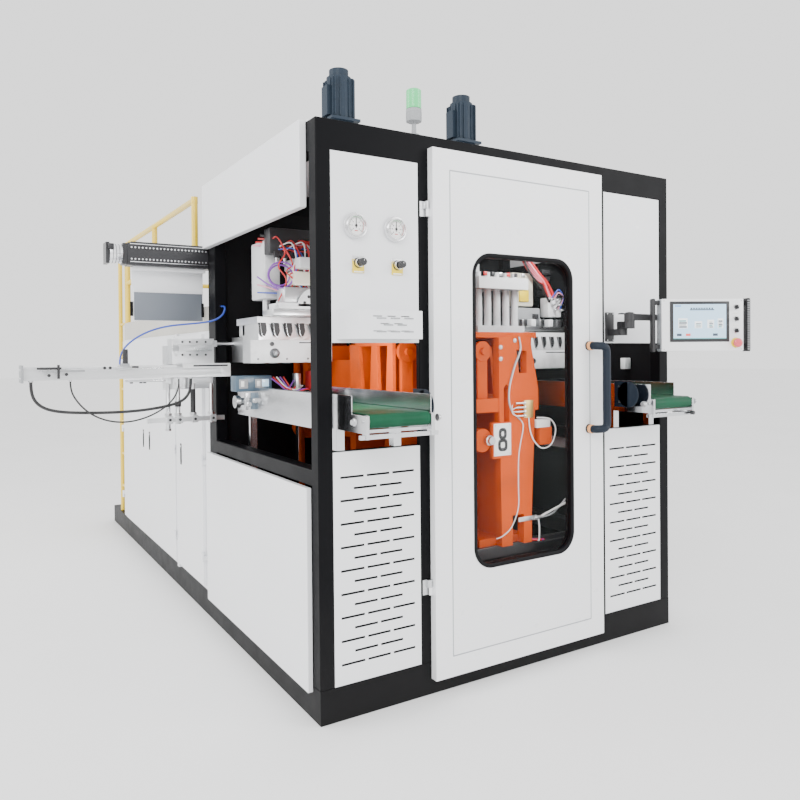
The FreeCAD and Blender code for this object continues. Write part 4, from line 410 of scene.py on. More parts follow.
looks = {
    "white": paintLook("white enamel", (0.84, 0.85, 0.87), 0.34, 0.35, 0.03, 0.00008),
    "door": paintLook("door enamel", (0.87, 0.875, 0.89), 0.3, 0.4, 0.02, 0.00008),
    "black": paintLook("black frame paint", (0.0025, 0.0026, 0.0035), 0.42, 0.0, 0.06, 0.0002, 0.015, 0.09),
    # dark paint of the inner screens, made darker still as painted shade for the inside of the machine; the
    # same colour is the painted shade in the panel slots and inside the side sheets
    "screen": paintLook("inner screen paint and painted shade", (0.005, 0.005, 0.006), 0.5, 0.0, 0.1, 0.0001, 0.0, 0.12),
    "gasket": grainLook("window gasket", (0.004, 0.004, 0.005), 0.5, grain=0.0003, shine=0.12),
    "handle": grainLook("handle sleeve", (0.007, 0.013, 0.023), 0.45, 0.0, 0.0001, shine=0.25),
    "steel": metalLook("bright steel", (0.62, 0.63, 0.64), 0.28),
    "darkSteel": metalLook("oiled steel", (0.2, 0.21, 0.22), 0.38, tarnish=0.4),
    "polished": metalLook("polished steel", (0.74, 0.75, 0.77), 0.14, (60, 4, 60), 0.06, 0.08),
    "brushedX": metalLook("milled aluminium", (0.72, 0.73, 0.74), 0.34, (3, 70, 70), 0.1, 0.12),
    "cast": castLook("cast aluminium", (0.6, 0.61, 0.62), 0.5, 0.05, 0.0004),
    "chrome": metalLook("plated rim", (0.8, 0.8, 0.81), 0.12, (30, 30, 30), 0.04, 0.05),
    "brass": metalLook("brass", (0.78, 0.55, 0.2), 0.3, (20, 20, 20)),
    "plastic": grainLook("black plastic", (0.02, 0.02, 0.022), 0.45),
    "greyPlastic": grainLook("grey plastic", (0.3, 0.31, 0.32), 0.5),
    "case": paintLook("panel case paint", (0.045, 0.047, 0.052), 0.42, 0.1, 0.15),
    "orange": castLook("orange casting", (0.62, 0.078, 0.003), 0.5, 0.2, 0.0005, 0.0, 0.15),
    "motor": castLook("motor paint", (0.02, 0.032, 0.048), 0.45, 0.1, 0.0003, 0.05, 0.2),
    "greyPaint": paintLook("machine grey", (0.32, 0.34, 0.36), 0.4),
    "yellow": paintLook("railing yellow", (0.86, 0.6, 0.03), 0.35, 0.35, 0.12, 0.0002),
    "deck": paintLook("deck paint", (0.55, 0.53, 0.48), 0.5, 0.05, 0.15),
    "axis": paintLook("axis black", (0.02, 0.02, 0.023), 0.3, 0.2, 0.2),
    "red": grainLook("red hose", (0.55, 0.02, 0.02), 0.35, 0.3, 0.00005),
    "blue": grainLook("blue hose", (0.03, 0.07, 0.42), 0.35, 0.3, 0.00005),
    "cable": grainLook("black cable", (0.015, 0.015, 0.016), 0.42, 0.1, 0.0001),
    "whiteCable": grainLook("white cable", (0.75, 0.75, 0.74), 0.45, 0.1, 0.0001),
    "signWhite": grainLook("sign plate", (0.85, 0.85, 0.83), 0.4, 0.2, 0.00005),
    "stop": grainLook("stop button red", (0.72, 0.08, 0.12), 0.28, 0.5, 0.00004),
    "labelYellow": grainLook("yellow plate", (0.85, 0.62, 0.02), 0.4, 0.2, 0.00005),
    "gearBlue": castLook("servo blue grey", (0.16, 0.22, 0.27), 0.42, 0.1, 0.0002),
    "glass": glassLook(), "belt": beltLook(),
    "screenBlue": lit("screen pale blue", (0.45, 0.66, 0.85)),
    "screenWhite": lit("screen white", (0.85, 0.9, 0.93)),
    "screenDark": lit("screen figures", (0.05, 0.07, 0.1), 0.2),
    "screenDeep": lit("screen deep blue", (0.1, 0.25, 0.55)),
    "screenGrey": lit("screen grey", (0.4, 0.42, 0.42), 0.3),
    "screenTeal": lit("screen teal", (0.1, 0.35, 0.36), 0.3),
    "screenRed": lit("screen red", (0.7, 0.1, 0.08)),
    "greenLens": lensLook(),
    "greenMark": grainLook("green mark", (0.03, 0.4, 0.1), 0.4),
    "cream": paintLook("cream enamel", (0.78, 0.74, 0.6), 0.35, 0.3, 0.2),
    "whiteCast": castLook("white casting", (0.8, 0.81, 0.82), 0.4, 0.1, 0.0003),
    "purple": grainLook("violet hose", (0.22, 0.06, 0.4), 0.3, 0.3, 0.00005),
    "pink": grainLook("pink hose", (0.75, 0.3, 0.4), 0.35, 0.2, 0.00005),
    "orangeCap": grainLook("orange grip end", (0.8, 0.35, 0.12), 0.4, 0.2, 0.0001),
    "board": grainLook("control block", (0.05, 0.09, 0.13), 0.4, 0.2, 0.0001),
    "sheetGrey": paintLook("grey hanging sheet", (0.16, 0.18, 0.21), 0.5, 0.0, 0.05),
    "brightMetal": metalLook("bright screw heads", (0.85, 0.86, 0.88), 0.3, (20, 20, 20), 0.05, 0.0),
}


# CAD part: finish and width of its eased edges (None keeps the CAD mesh itself)
finishes = {
    "base_frame": ("black", 0.003), "main_frame": ("black", 0.004), "roof_plate": ("white", 0.001),
    "inner_screens": ("screen", None), "upper_panels": ("white", 0.0015), "vent_panels": ("white", 0.0008),
    "outlet_hood": ("white", 0.0008), "side_covers": ("white", 0.004), "side_panels": ("white", 0.003),
    "door_leaf": ("door", 0.002), "door_window": ("glass", None), "door_hinges": ("steel", 0.0008),
    "air_fittings": ("chrome", 0.0008), "gauge_needle_left": ("plastic", None),
    "gauge_needle_right": ("plastic", None), "hmi_mount": ("plastic", 0.002),
    "hmi_arm_inner": ("plastic", 0.004), "hmi_arm_outer": ("plastic", 0.004), "conveyor_belts": ("belt", 0),
    "conveyor_frames": ("polished", 0.0008), "conveyor_roller_left": ("steel", 0.001),
    "conveyor_roller_right": ("steel", 0.001), "clamp_rails": ("darkSteel", 0.002),
    "clamp_carriage_a": ("darkSteel", 0.002), "clamp_carriage_b": ("darkSteel", 0.002),
    "front_platen_a": ("orange", 0.004), "rear_platen_a": ("orange", 0.004),
    "front_platen_b": ("orange", 0.004), "rear_platen_b": ("orange", 0.004), "blow_drives": ("motor", 0.0015),
    "blow_carriage_left": ("cast", 0.0015), "blow_carriage_right": ("cast", 0.0015),
    "die_head": ("darkSteel", 0.003), "extruder": ("greyPaint", None), "extruder_screw": ("steel", None),
    "neck_mask_left": ("brushedX", 0.0015), "neck_mask_right": ("brushedX", 0.0015),
    "takeout_beam": ("brushedX", 0.001), "takeout_carriage": ("brushedX", 0.0015),
    "axis_housing": ("axis", 0.0015), "hanging_plates": ("white", 0.001), "cabinet_shell": ("white", 0.002),
    "service_door": ("white", 0.0015), "cabinet_door_front": ("white", 0.0015),
    "cabinet_door_rear": ("white", 0.0015), "platform_deck": ("deck", 0.002), "railing": ("yellow", 0),
}
for node, (finish, bevel) in finishes.items():
    if bevel is None:
        dress(node, looks[finish])
    else:
        eased(node, looks[finish], bevel)
print("CAD parts finished")


# soft cords: route points in millimetres from the left, the front and the floor
routes = {
    "power_cable": {"diameter": 16, "look": "cable", "slot": "gasket", "stiffness": "stiff", "points": [
        (-985, 1343, 1461), (-985, 1343, 1405), (-962, 1342, 1352), (-915, 1340, 1318), (-840, 1337, 1300),
        (-740, 1335, 1292), (-640, 1334, 1288), (-540, 1334, 1287), (-440, 1336, 1291), (-360, 1339, 1299),
        (-290, 1341, 1310), (-225, 1343, 1326), (-180, 1343, 1358), (-160, 1343, 1408), (-160, 1343, 1461)]},
    "sensor_cable": {"diameter": 9, "look": "cable", "slot": "gasket", "stiffness": "medium", "points": [
        (-800, 1320, 1461), (-800, 1320, 1418), (-775, 1317, 1362), (-728, 1314, 1305), (-665, 1312, 1262),
        (-590, 1311, 1237), (-510, 1312, 1232), (-430, 1314, 1247), (-360, 1316, 1275), (-300, 1318, 1312),
        (-258, 1319, 1358), (-234, 1320, 1412), (-234, 1320, 1461)]},
    "air_hose": {"diameter": 10, "look": "blue", "slot": "hose_blue", "stiffness": "medium", "points": [
        (-560, 1272, 1547), (-560, 1272, 1592), (-530, 1271, 1646), (-470, 1270, 1695), (-390, 1270, 1734),
        (-300, 1271, 1757), (-205, 1270, 1768), (-120, 1262, 1776), (-45, 1252, 1790), (5, 1256, 1822),
        (28, 1282, 1862), (35, 1322, 1880), (35, 1372, 1880)]},
}


# a NURBS curve of order 3 through its own control points, as round as the cord
def cordPiece(node, route):
    points = [at(*p) for p in route["points"]]
    curve = bpy.data.curves.new(node + "_line", "CURVE")
    curve.dimensions, curve.resolution_u = "3D", 10
    curve.bevel_depth, curve.bevel_resolution, curve.use_fill_caps = route["diameter"] / 2000, 4, True
    spline = curve.splines.new("NURBS")
    spline.points.add(len(points) - 1)
    for control, point in zip(spline.points, points):
        control.co = (*point, 1.0)
    spline.order_u, spline.use_endpoint_u = 3, True
    curve.materials.append(looks[route["look"]])
    cord = bpy.data.objects.new(node + "_cord", curve)
    bpy.context.scene.collection.objects.link(cord)
    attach(cord, "frame")
    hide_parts(node)


for node, route in routes.items():
    cordPiece(node, route)
print("cords laid")


# pan-head screw: a low dome r(h) with a rim, and a cross recess drawn as a dark dot of painted shade
def screws(places, axis, radius, name, body):
    shape, height = Shape(), 0.45
    top, small = radius * height, radius * 0.3
    dome = [(0, radius), (radius * height * 0.6, radius), (top, radius * 0.6), (top, 0.0001)]
    recessShade = [(top, small), (top + 0.0002, small), (top + 0.0002, 0.0001)]
    for place in places:
        shape.turned(place, axis, dome, 0, 12)
        shape.turned(place, axis, recessShade, 1, 6)
    shape.piece(name, body, "steel plastic", "steel")


gauges = {"places": ((185, 2150), (390, 2150)), "face": -16, "span": 135}


# dial faces: white discs with tick marks round an arc, small figures, coloured bands and a bevelled rim
def dials():
    def spot(angle, reach, out):
        return centre + np.array([reach * math.sin(angle), -out, reach * math.cos(angle)]) / 1000

    shape, face, span = Shape(), gauges["face"], math.radians(gauges["span"])
    half = np.array([0.0016, 0.0004, 0.0024])
    rim = [(0, 0.0565), (0.008, 0.0565), (0.0125, 0.0545), (0.0135, 0.0485), (0.012, 0.0425)]
    for x, z in gauges["places"]:
        centre = at(x, face, z)
        shape.turned(at(x, face + 12, z), toFront, rim, 4, 48, False)
        shape.stud(centre, toFront, ((0, 41.5), (0.6, 41.5)), 0, 40)
        for k, angle in enumerate(np.linspace(-span, span, 31)):
            inner, radius = (31, 0.0007) if k % 5 else (27, 0.0011)
            shape.pipe([spot(angle, inner, 1.1), spot(angle, 37, 1.1)], radius, 1, 4)
        for angle in np.linspace(-span, span, 7):
            shape.block(spot(angle, 20.5, 0.9) - half, spot(angle, 20.5, 0.9) + half, 0.0003, 1)
        for first, last, look in ((60, 135, 2), (-30, 40, 3)):
            band = np.radians(np.linspace(first, last, 16))
            shape.pipe([spot(angle, 38.5, 0.7) for angle in band], 0.0011, look, 4)
        shape.blocks((x - 8, face - 1.2, z - 24.5, x + 8, face - 0.4, z - 20.5, 0.3, 2))
    shape.piece("gauge_dials", "frame", "signWhite plastic red greenMark chrome", "air_parts")


regulators = {"places": ((201, 1990), (402, 1990)), "plate": 30, "drop": 14}


# regulator plates: yellow square with two screws, a scale ring under the knob, a lock tab
def regulatorPlates():
    shape = Shape()
    for x, z in regulators["places"]:
        low, half = z - regulators["drop"], regulators["plate"]
        shape.blocks((x - half, -1.6, low - half, x + half, -3.4, low + half, 1, 0))
        shape.stud(at(x, -3.2, z), toFront, ((0, 22.5), (3, 22.5), (4, 21)), 1, 32)
        for side in (-1, 1):
            spot = at(x + side * 24.5, -3.4, low - side * 24.5)
            shape.stud(spot, toFront, ((0, 3.2), (1.4, 3.2), (2, 2)), 2, 12)
        shape.blocks((x - 22, -2.4, low - 28, x + 22, -4.0, low - 22, 0.4, 3))
    shape.piece("regulator_plates", "frame", "labelYellow plastic steel signWhite", "air_parts")


# fluted knobs: radius r(a) = r0 (1 + d sign(w) |w|^0.4) with w = cos(18 a), and a white pointer
def knobs():
    for side, x in (("left", 201), ("right", 402)):
        centre = at(x, -30, 1990)
        angle = np.linspace(0, 2 * math.pi, 72, endpoint=False)
        wave, rows = np.cos(18 * angle), []
        for level, size in ((0.0, 0.0146), (0.003, 0.0166), (0.02, 0.0158), (0.0262, 0.0148),
                            (0.0285, 0.0125), (0.0285, 0.0001)):
            r = size * (1 + (0.045 if size > 0.014 else 0) * np.sign(wave) * np.abs(wave) ** 0.4)
            rows.append(np.stack([centre[0] + r * np.cos(angle), np.full_like(angle, centre[1] - level),
                                  centre[2] + r * np.sin(angle)], axis=-1))
        shape = Shape().grid(np.array(rows))
        shape.block(centre + np.array([-0.0008, -0.0293, 0.003]), centre + np.array([0.0008, -0.0284, 0.011]),
                    0.0002, 1)
        shape.piece("knob_grip_" + side, "knob_" + side, "plastic signWhite", "dark_plastic", 0.5, 0,
                    ["regulator_knob_" + side])


beaconParts = {"x": 523, "y": 35, "radius": 36}


# beacon: grey base on its pole, ribbed green lens r(z) = r0 + d cos(2 pi z / pitch)
def beaconLens():
    x, y, r = beaconParts["x"], beaconParts["y"], beaconParts["radius"] / 1000
    lens = Shape()
    levels = np.linspace(0, 0.082, 60)
    ripple = (r - 0.0008) * (1 + 0.012 * np.cos(levels / 0.0068 * 2 * math.pi))
    profile = [(0, r - 0.001)] + [(float(z) + 0.001, float(q)) for z, q in zip(levels, ripple)]
    profile += [(0.0865, r - 0.004), (0.0905, r - 0.010), (0.093, r - 0.02), (0.0935, 0.0001)]
    lens.turned(at(x, y, 2724.5), toTop, profile, 0, 40)
    lens.piece("beacon_lens", "frame", "greenLens", "beacon", 0.9)
    base = Shape()
    profile = [(0, 0.026), (0.005, 0.026), (0.008, 0.022), (0.0085, 0.012), (0.06, 0.0095),
               (0.062, r - 0.008), (0.066, r), (0.121, r), (0.1235, r - 0.0025), (0.124, 0.001)]
    base.turned(at(x, y, 2600), toTop, profile, 0, 40)
    for k in range(6):
        base.turned(at(x, y, 2670 + k * 7), toTop,
                    [(0, r), (0.001, r + 0.0008), (0.003, r + 0.0008), (0.004, r)], 0, 40)
    base.piece("beacon_base", "frame", "greyPlastic", "beacon", 0.5, 0, ["beacon"])


panel = {"turn": math.radians(-28), "back": np.array([0.9663, -2.6055]),
         "along": np.array([0.88295, -0.46947]), "out": np.array([-0.46947, -0.88295])}
outward = [*panel["out"], 0]


# a point of the operator panel from millimetres: across its face, out of its back plane, above the floor
def onPanel(across, out, z):
    return np.array([*(panel["back"] + panel["along"] * across / 1000 + panel["out"] * out / 1000), z / 1000])


# blocks turned with the panel: rows of left, right, back, front, low, high, edge radius and look
def panelBlocks(shape, *rows):
    for left, right, back, front, low, high, edge, look in rows:
        centre = onPanel((left + right) / 2, (back + front) / 2, (low + high) / 2)
        half = np.abs([right - left, front - back, high - low]) / 2000
        shape.block(centre - half, centre + half, edge / 1000, look, panel["turn"])


# case: white front over a grey tub, a black grip at each side, the right one ribbed
def panelCase():
    case = Shape()
    panelBlocks(case, (-220, 220, 0, 58, 1592, 1867, 6, 1), (-220, 220, 58.5, 70, 1592, 1867, 4, 0),
                (-160, 160, -12, 1, 1630, 1830, 4, 1),
                *((45 * k - 130, 45 * k - 108, -13.5, -11, 1650, 1810, 1, 2) for k in range(6)),
                *((side * 218, side * 245, 18, 46, z, z + 22, 3, 2)
                  for side in (-1, 1) for z in (1606, 1838)),
                (-263.5, -243.5, 12, 52, 1588, 1871, 8, 2), (243.5, 263, 6, 64, 1588, 1871, 6, 2),
                *((244.5, 262, 63.5, 66.5, 1598 + k * 12.2, 1604 + k * 12.2, 1, 3) for k in range(22)))
    for side in (-1, 1):
        for z in (1602, 1857):
            case.stud(onPanel(side * 209, 69.5, z), outward, ((0, 3.6), (1.5, 3.6), (2.4, 2)), 4, 12)
    case.piece("panel_case", "panel", "door greyPaint plastic greyPlastic steel", "panel_case", 0.5, 0,
               ["hmi_box"])


# screen contents: plain coloured tiles and bars standing for pictures and figures, no words
def panelScreen():
    bezel, glass = Shape(), Shape()
    panelBlocks(bezel, (-178, 142, 69, 73.5, 1640, 1853, 2.5, 0))
    bezel.piece("screen_bezel", "panel", "plastic", "dark_plastic")
    panelBlocks(glass, (-160, 124, 73, 73.9, 1656, 1838, 0.3, 0),
                (-152, -118, 73.6, 74.1, 1826, 1832, 0.1, 3),
                (-72, 60, 73.6, 74.1, 1806, 1811, 0.1, 2),
                *((14 * k - 68, 14 * k - 59, 73.6, 74.1, 1812, 1819.5, 0.1, 2) for k in range(9)))
    for index, (x, wide, tall) in enumerate(((-134, 50, 52), (-46, 40, 36), (22, 36, 44), (78, 30, 50))):
        panelBlocks(glass, (x, x + wide, 73.6, 74, 1712, 1712 + tall, 0.1, 1))
        for k in range(4):
            low, start = 1715 + k * (tall - 10) / 4, x + 4 + 3 * ((k * 3 + index) % 3)
            panelBlocks(glass, (start, x + wide - 4 - 4 * ((k + index) % 2), 73.8, 74.2, low,
                                low + (tall - 12) / 4 - 2.5, 0.1, (2, 4, 2, 5)[(k + index) % 4]))
    panelBlocks(glass, *((x, x + 26, 73.6, 74.1, 1671, 1684, 0.1, look)
                         for x, look in ((-142, 2), (-94, 6), (52, 2))),
                (-160, 124, 73.6, 74.05, 1656, 1660.5, 0.1, 5))
    glass.piece("screen_picture", "panel",
                "screenBlue screenWhite screenDark screenDeep screenGrey screenTeal screenRed", "panel_case")


# selector knobs with a raised bar, each on a chromed ring, and the mushroom button on a yellow shield
def panelControls():
    for index, (name, z) in enumerate((("upper", 1822), ("middle", 1760), ("lower", 1698))):
        knob = Shape()
        knob.stud(onPanel(178, 70.5, z), outward, ((0, 14.8), (4, 14.8), (6, 12.8)), 0, 32)
        knob.stud(onPanel(178, 76.5, z), outward, ((0, 11.5), (9, 10.8), (11, 9)), 1, 24)
        panelBlocks(knob, (174.8, 181.2, 78, 95.5, z - 10.5, z + 10.5, 1.5, 1),
                    (177.4, 178.6, 95.3, 95.9, z + 1, z + 9.5, 0.2, 2))
        knob.piece("switch_" + name, "switch_" + name, "chrome plastic signWhite", "dark_plastic", 0.5, 0,
                   ["hmi_switch_%d" % (index + 1)])
    shield, stop = Shape(), Shape()
    shield.stud(onPanel(178, 70, 1634), outward, ((0, 26.5), (1.2, 26.5), (1.8, 25.5)), 0, 40)
    panelBlocks(shield, *((163, 193, 69.8, 70.8, z - 4, z + 4, 0.3, 1) for z in (1728, 1790)))
    shield.piece("stop_shield", "panel", "labelYellow signWhite", "yellow")
    stop.stud(onPanel(178, 76.3, 1634), outward,
              ((0, 12.5), (9, 12.5), (9.5, 21), (12, 23.2), (18, 23.6), (22.2, 21), (24.6, 15.5), (25.5, 8),
               (25.7, tip)), 0, 40)
    stop.piece("stop_mushroom", "stop_button", "stop", "stop_red", 0.9, 0, ["hmi_stop_button"])


# support arm: bolted foot and the caps of its pivots
def panelArm():
    foot = Shape()
    foot.blocks((1742, -2, 1648, 1802, -9, 1808, 4, 0), (1752, -8, 1680, 1792, -58, 1712, 8, 0))
    foot.piece("arm_foot", "frame", "plastic", "dark_plastic")
    screws([at(x, -9, z) for x in (1750, 1794) for z in (1656, 1800)], toFront, 0.0045, "arm_foot_screws",
           "frame")
    for name, body, x, y in (("arm_cap_shoulder", "frame", 1790, -75),
                             ("arm_cap_elbow", "panel_arm_inner", 1760, -150)):
        caps = Shape()
        caps.stud(at(x, y, 1795), toTop, ((0, 21), (4, 21), (6, 18)), 0, 32)
        caps.stud(at(x, y, 1801), toTop, ((0, 7), (3, 6.5)), 1, 6)
        caps.piece(name, body, "plastic steel", "dark_plastic")


for make in (dials, regulatorPlates, knobs, beaconLens, panelCase, panelScreen, panelControls, panelArm):
    make()
print("front and panel details made")


slots = {"length": 115, "gap": 17, "height": 8, "pitch": 51, "first": 85, "bottom": 150.5, "rows": 17}


# slots of the lower panels: painted shade in each slot, dark blocks a touch back from the face, rows of three
# and two in turn
def slotShade():
    shape = Shape()
    for left, right in ((70.5, 519.5), (1735.5, 2189.5)):
        for row in range(slots["rows"]):
            count = 3 if row % 2 == 0 else 2
            span = count * slots["length"] + (count - 1) * slots["gap"]
            low = slots["bottom"] + slots["first"] + row * slots["pitch"]
            for k in range(count):
                x = (left + right - span) / 2 + k * (slots["length"] + slots["gap"])
                shape.blocks((x - 0.5, 1.7, low - 0.8, x + slots["length"] + 0.5, 6,
                              low + slots["height"] + 0.8, 0.3, 0))
    shape.piece("slot_shade", "frame", "screen", "screen_sheet", 0)


hood = {"middle": 330, "front": -98, "pitch": 70, "rows": (1687, 1716, 1745)}


# outlet hood: three rows of shallow dashes, drawn as grey marks of painted shade on the white sheet
def hoodDetail():
    shape = Shape()
    for row, z in enumerate(hood["rows"]):
        count = 3 if row != 1 else 2
        for k in range(count):
            x = hood["middle"] + (k - (count - 1) / 2) * hood["pitch"]
            shape.blocks((x - 24, hood["front"] - 2.6, z - 2.5, x + 24, hood["front"] - 1.7, z + 2.5, 0.3, 0))
    shape.piece("hood_dashes", "frame", "greyPlastic", "white_sheet", 0)


door = {"left": 573, "right": 1675, "bottom": 73, "top": 2540, "inset": 95, "line": 5}


# groove line round the door: a shadow strip on the groove's floor, between the outline at two insets
def doorLine():
    def outline(inset, radius):
        low = (door["left"] + inset, door["bottom"] + inset)
        high = (door["right"] - inset, door["top"] - inset)
        return roundedOutline(low, high, radius, 3) / 1000 - middle

    y, strip, middle = at(0, -40.6, 0)[1], Shape(), np.array([machine["width"] / 2, 0])
    strip.ring(outline(door["inset"] - 1, 6), outline(door["inset"] + door["line"] + 0.5, 4), y - 0.0006,
               y + 0.001, 1)
    strip.piece("door_line", "door", "greyPaint", "white_sheet", 0)


seal = {"left": 798.1, "right": 1453.9, "bottom": 550.1, "top": 2071.9, "radius": 110}


# window seal: a rubber profile swept round a rounded rectangle, lip over the leaf and a pane groove
def windowSeal():
    profile = ((0, -41), (0, -44.2), (-3, -44.3), (-9, -44.3), (-17, -43), (-20, -40), (-20, -24),
               (-14.2, -23.6), (-14.2, -18.0), (-20, -17.6), (-20, -2), (-17, -0.4), (0.0, -0.4), (0, -41))
    rows, middle = [], np.array([machine["width"] / 2, 0])
    for inward, y in profile:
        low = (seal["left"] - inward, seal["bottom"] - inward)
        high = (seal["right"] + inward, seal["top"] + inward)
        flat = roundedOutline(low, high, seal["radius"] + inward, 20) / 1000 - middle
        rows.append(np.insert(flat, 1, at(0, y, 0)[1], axis=1))
    rubber = Shape().grid(np.array(rows), 0, True, False)
    rubber.piece("window_seal", "door", "gasket", "gasket", 0.7, 0, ["door_seal"])


handle = {"x": 1630, "foot": 1568, "low": 1185, "high": 1625, "reach": 70, "radius": 20.8}


# handle: a sleeved bar with orange end sleeves on its bends and round flanges on the leaf
def doorHandle():
    x, foot, y = handle["x"], handle["foot"], -41 - handle["reach"]
    bend = [(foot, -41, 0), (foot, -70, 0), (foot + 14, -98, 1), (foot + 38, y, 4), (x - 6, y, 16),
            (x, y, 44), (x, y, 120)]
    path = [at(across, out, handle["high"] - up) for across, out, up in bend]
    path += [at(across, out, handle["low"] + up) for across, out, up in bend[::-1]]
    bar = Shape().pipe(rounded(path, 8), handle["radius"] / 1000, 0, 24)
    flange = [(0, 0.0245), (0.006, 0.0245), (0.008, 0.0225), (0.008, 0.0205)]
    sleeve = [(0, 0.0215), (0.002, 0.0235), (0.018, 0.0235), (0.02, 0.0215)]
    for z in (handle["low"], handle["high"]):
        bar.turned(at(foot, -41, z), toFront, flange, 1, 28)
        bar.turned(at(foot, -50, z), toFront, sleeve, 2, 28)
    bar.piece("door_handle_bar", "door", "handle plastic orangeCap", "handle", 0.8, 0, ["door_handle"])


for make in (slotShade, hoodDetail, doorLine, windowSeal, doorHandle):
    make()
print("panels and door made")


mask = {"front": 746, "teeth": 6}


# teeth of a mask: slanted recesses in its front, each drawn as a black plate of painted shade, with a bright
# lip along one edge
def teeth(shape, first, step, shift, top):
    front, y = mask["front"], at(0, mask["front"], 0)[1]
    for k in range(mask["teeth"]):
        x = first + k * step
        outline = [(0, 0), (44 - shift, 0), (50 - shift, -42), (40 - shift, -68), (22 - shift, -74),
                   (12, -46)]
        shape.plate(upright([(x + across, top + up) for across, up in outline]), y - 0.0032, y - 0.0015, 1,
                    0.0004, 1)
        edge = [(x + 12 - shift, front - 4, top + 2), (x + 20 - shift, front - 5, top - 58),
                (x + 34 - shift, front - 4, top - 76)]
        shape.hose(edge, 2.2, 2, 4)


# left trimming station: white front with its teeth, a slot line drawn as a dark strip of painted shade,
# adjusting knob and screws
def maskFront():
    shape, front = Shape(), mask["front"]
    shape.blocks((-20, front - 1.6, 1552, 444, front - 0.2, 1668, 0.5, 0))
    teeth(shape, 20, 72, 0, 1758)
    shape.blocks((250, front - 2.2, 1652, 410, front - 1.0, 1658, 0.3, 1))
    shape.stud(at(110, front, 1600), toFront, ((0, 26), (10, 26), (12, 20), (30, 19), (32, 15)), 3)
    shape.stud(at(96, front, 1648), toFront, ((0, 12), (8, 11), (9, tip)), 1, 16)
    for x in (20, 180, 300, 420):
        shape.stud(at(x, front - 1.2, 1570), toFront, ((0, 6), (3, 5), (3.5, tip)), 3, 12)
    shape.piece("mask_front", "transfer", "whiteCast plastic steel darkSteel", "aluminium")


# right trimming station: the same front on the fixed mask
def maskFace():
    shape, front = Shape(), mask["front"]
    shape.blocks((1816, front - 1.6, 1490, 2236, front - 0.2, 1606, 0.5, 0),
                 (1816, front - 1.4, 1606, 2236, front - 0.3, 1722, 0.5, 0))
    teeth(shape, 1826, 70, 2, 1696)
    # slot line: a dark strip of painted shade
    shape.blocks((2010, front - 2.2, 1590, 2200, front - 1.0, 1596, 0.3, 1))
    shape.stud(at(1880, front, 1538), toFront, ((0, 24), (10, 24), (30, 17)), 1, 24)
    shape.piece("mask_face", "frame", "whiteCast plastic steel", "aluminium")


# pneumatics behind the left opening: valve islands, covers, fan plate, and hoses as smooth pipes
def sidePneumatics():
    block, hoses = Shape(), Shape()
    block.blocks((40, 620, 2100, 330, 700, 2230, 6, 3))
    for k in range(6):
        block.blocks((58 + k * 44, 606, 2078, 88 + k * 44, 622, 2110, 2, 3))
        block.stud(at(73 + k * 44, 614, 2078), toFloor, ((0, 8), (30, 7), (31, tip)), 2, 12)
    block.blocks((60, 540, 1820, 430, 690, 1850, 4, 0), (90, 560, 1850, 360, 660, 1930, 6, 1),
                 (140, 552, 1940, 400, 650, 2010, 8, 4), (250, 548, 1970, 290, 551, 1985, 1, 5),
                 (30, 560, 1788, 330, 700, 1818, 3, 1))
    for k in range(9):
        look = (2, 0, 3)[k % 3]
        block.stud(at(60 + k * 38, 575, 1818), toTop, ((0, 11), (18, 11), (20, 7), (40, 6)), look, 12)
    angle = np.linspace(0, math.pi, 21)
    fan = [(0.250 - 1.13 + 0.095 * math.cos(a), 1.832 + 0.095 * math.sin(a)) for a in angle]
    y = at(0, 540, 0)[1]
    block.plate(np.array(fan), y, y + 0.006, 1, 0.001, 0)
    for k in range(5):
        a = math.pi * (k + 0.5) / 5
        spot = at(250 + 62 * math.cos(a), 540, 1832 + 62 * math.sin(a))
        block.stud(spot, toFront, ((0, 8), (0.8, 8)), 3, 14)
    block.blocks((150, 500, 2020, 440, 700, 2075, 6, 6), (45, 700, 1880, 130, 900, 2180, 10, 6))
    block.stud(at(90, 800, 1800), toTop, ((0, 20), (300, 20)), 2, 20)
    block.blocks((30, 960, 1690, 460, 1060, 1760, 8, 1))
    block.piece("side_pneumatics", "frame", "whiteCast brushedX steel plastic cream labelYellow cast",
                "air_parts")
    for k in range(16):
        x, drop = 50 + (k * 37) % 150, (k * 53) % 90
        path = [(x, 640 - k, 2160 - k * 3), (x + 20 + k * 4, 600 - 2 * k, 2180 - drop),
                (x + 50 + k * 3, 570, 2100 - drop), (x + 10 + 5 * k, 560, 2030 - drop / 2),
                (x + 60 + k * 4, 580, 1960 - k * 2), (70 + k * 20, 600, 1850)]
        hoses.hose(path, 3.4, (0, 0, 0, 1, 2)[k % 5], 6)
    for k in range(4):
        path = [(20, 700 + 30 * k, 2200 - 14 * k), (150, 640, 2188 - 12 * k), (300, 600, 2170 - 10 * k),
                (430, 560, 2110 - 6 * k), (450, 620, 2060)]
        hoses.pipe([at(*p) for p in path], (0.007, 0.005, 0.0045, 0.0045)[k], (4, 0, 0, 5)[k], 10, 6)
    turn = np.linspace(0, 4 * math.pi, 60)
    loop = [at(80 + (78 - 2 * t) * math.cos(t), 560 + 3 * t, 1985 + (70 - 2 * t) * math.sin(t)) for t in turn]
    hoses.pipe(loop, 0.0042, 3, 10)
    for k in range(3):
        path = [(10, 720, 1990 - 40 * k), (60 + 30 * k, 660, 1940 - 20 * k), (140, 600, 1900 - 26 * k),
                (250 + 20 * k, 570, 1880)]
        hoses.hose(path, 4, (3, 5, 1)[k], 6)
    hoses.piece("side_hoses", "frame", "red blue whiteCable purple cable pink", "hose_blue", 1.0)


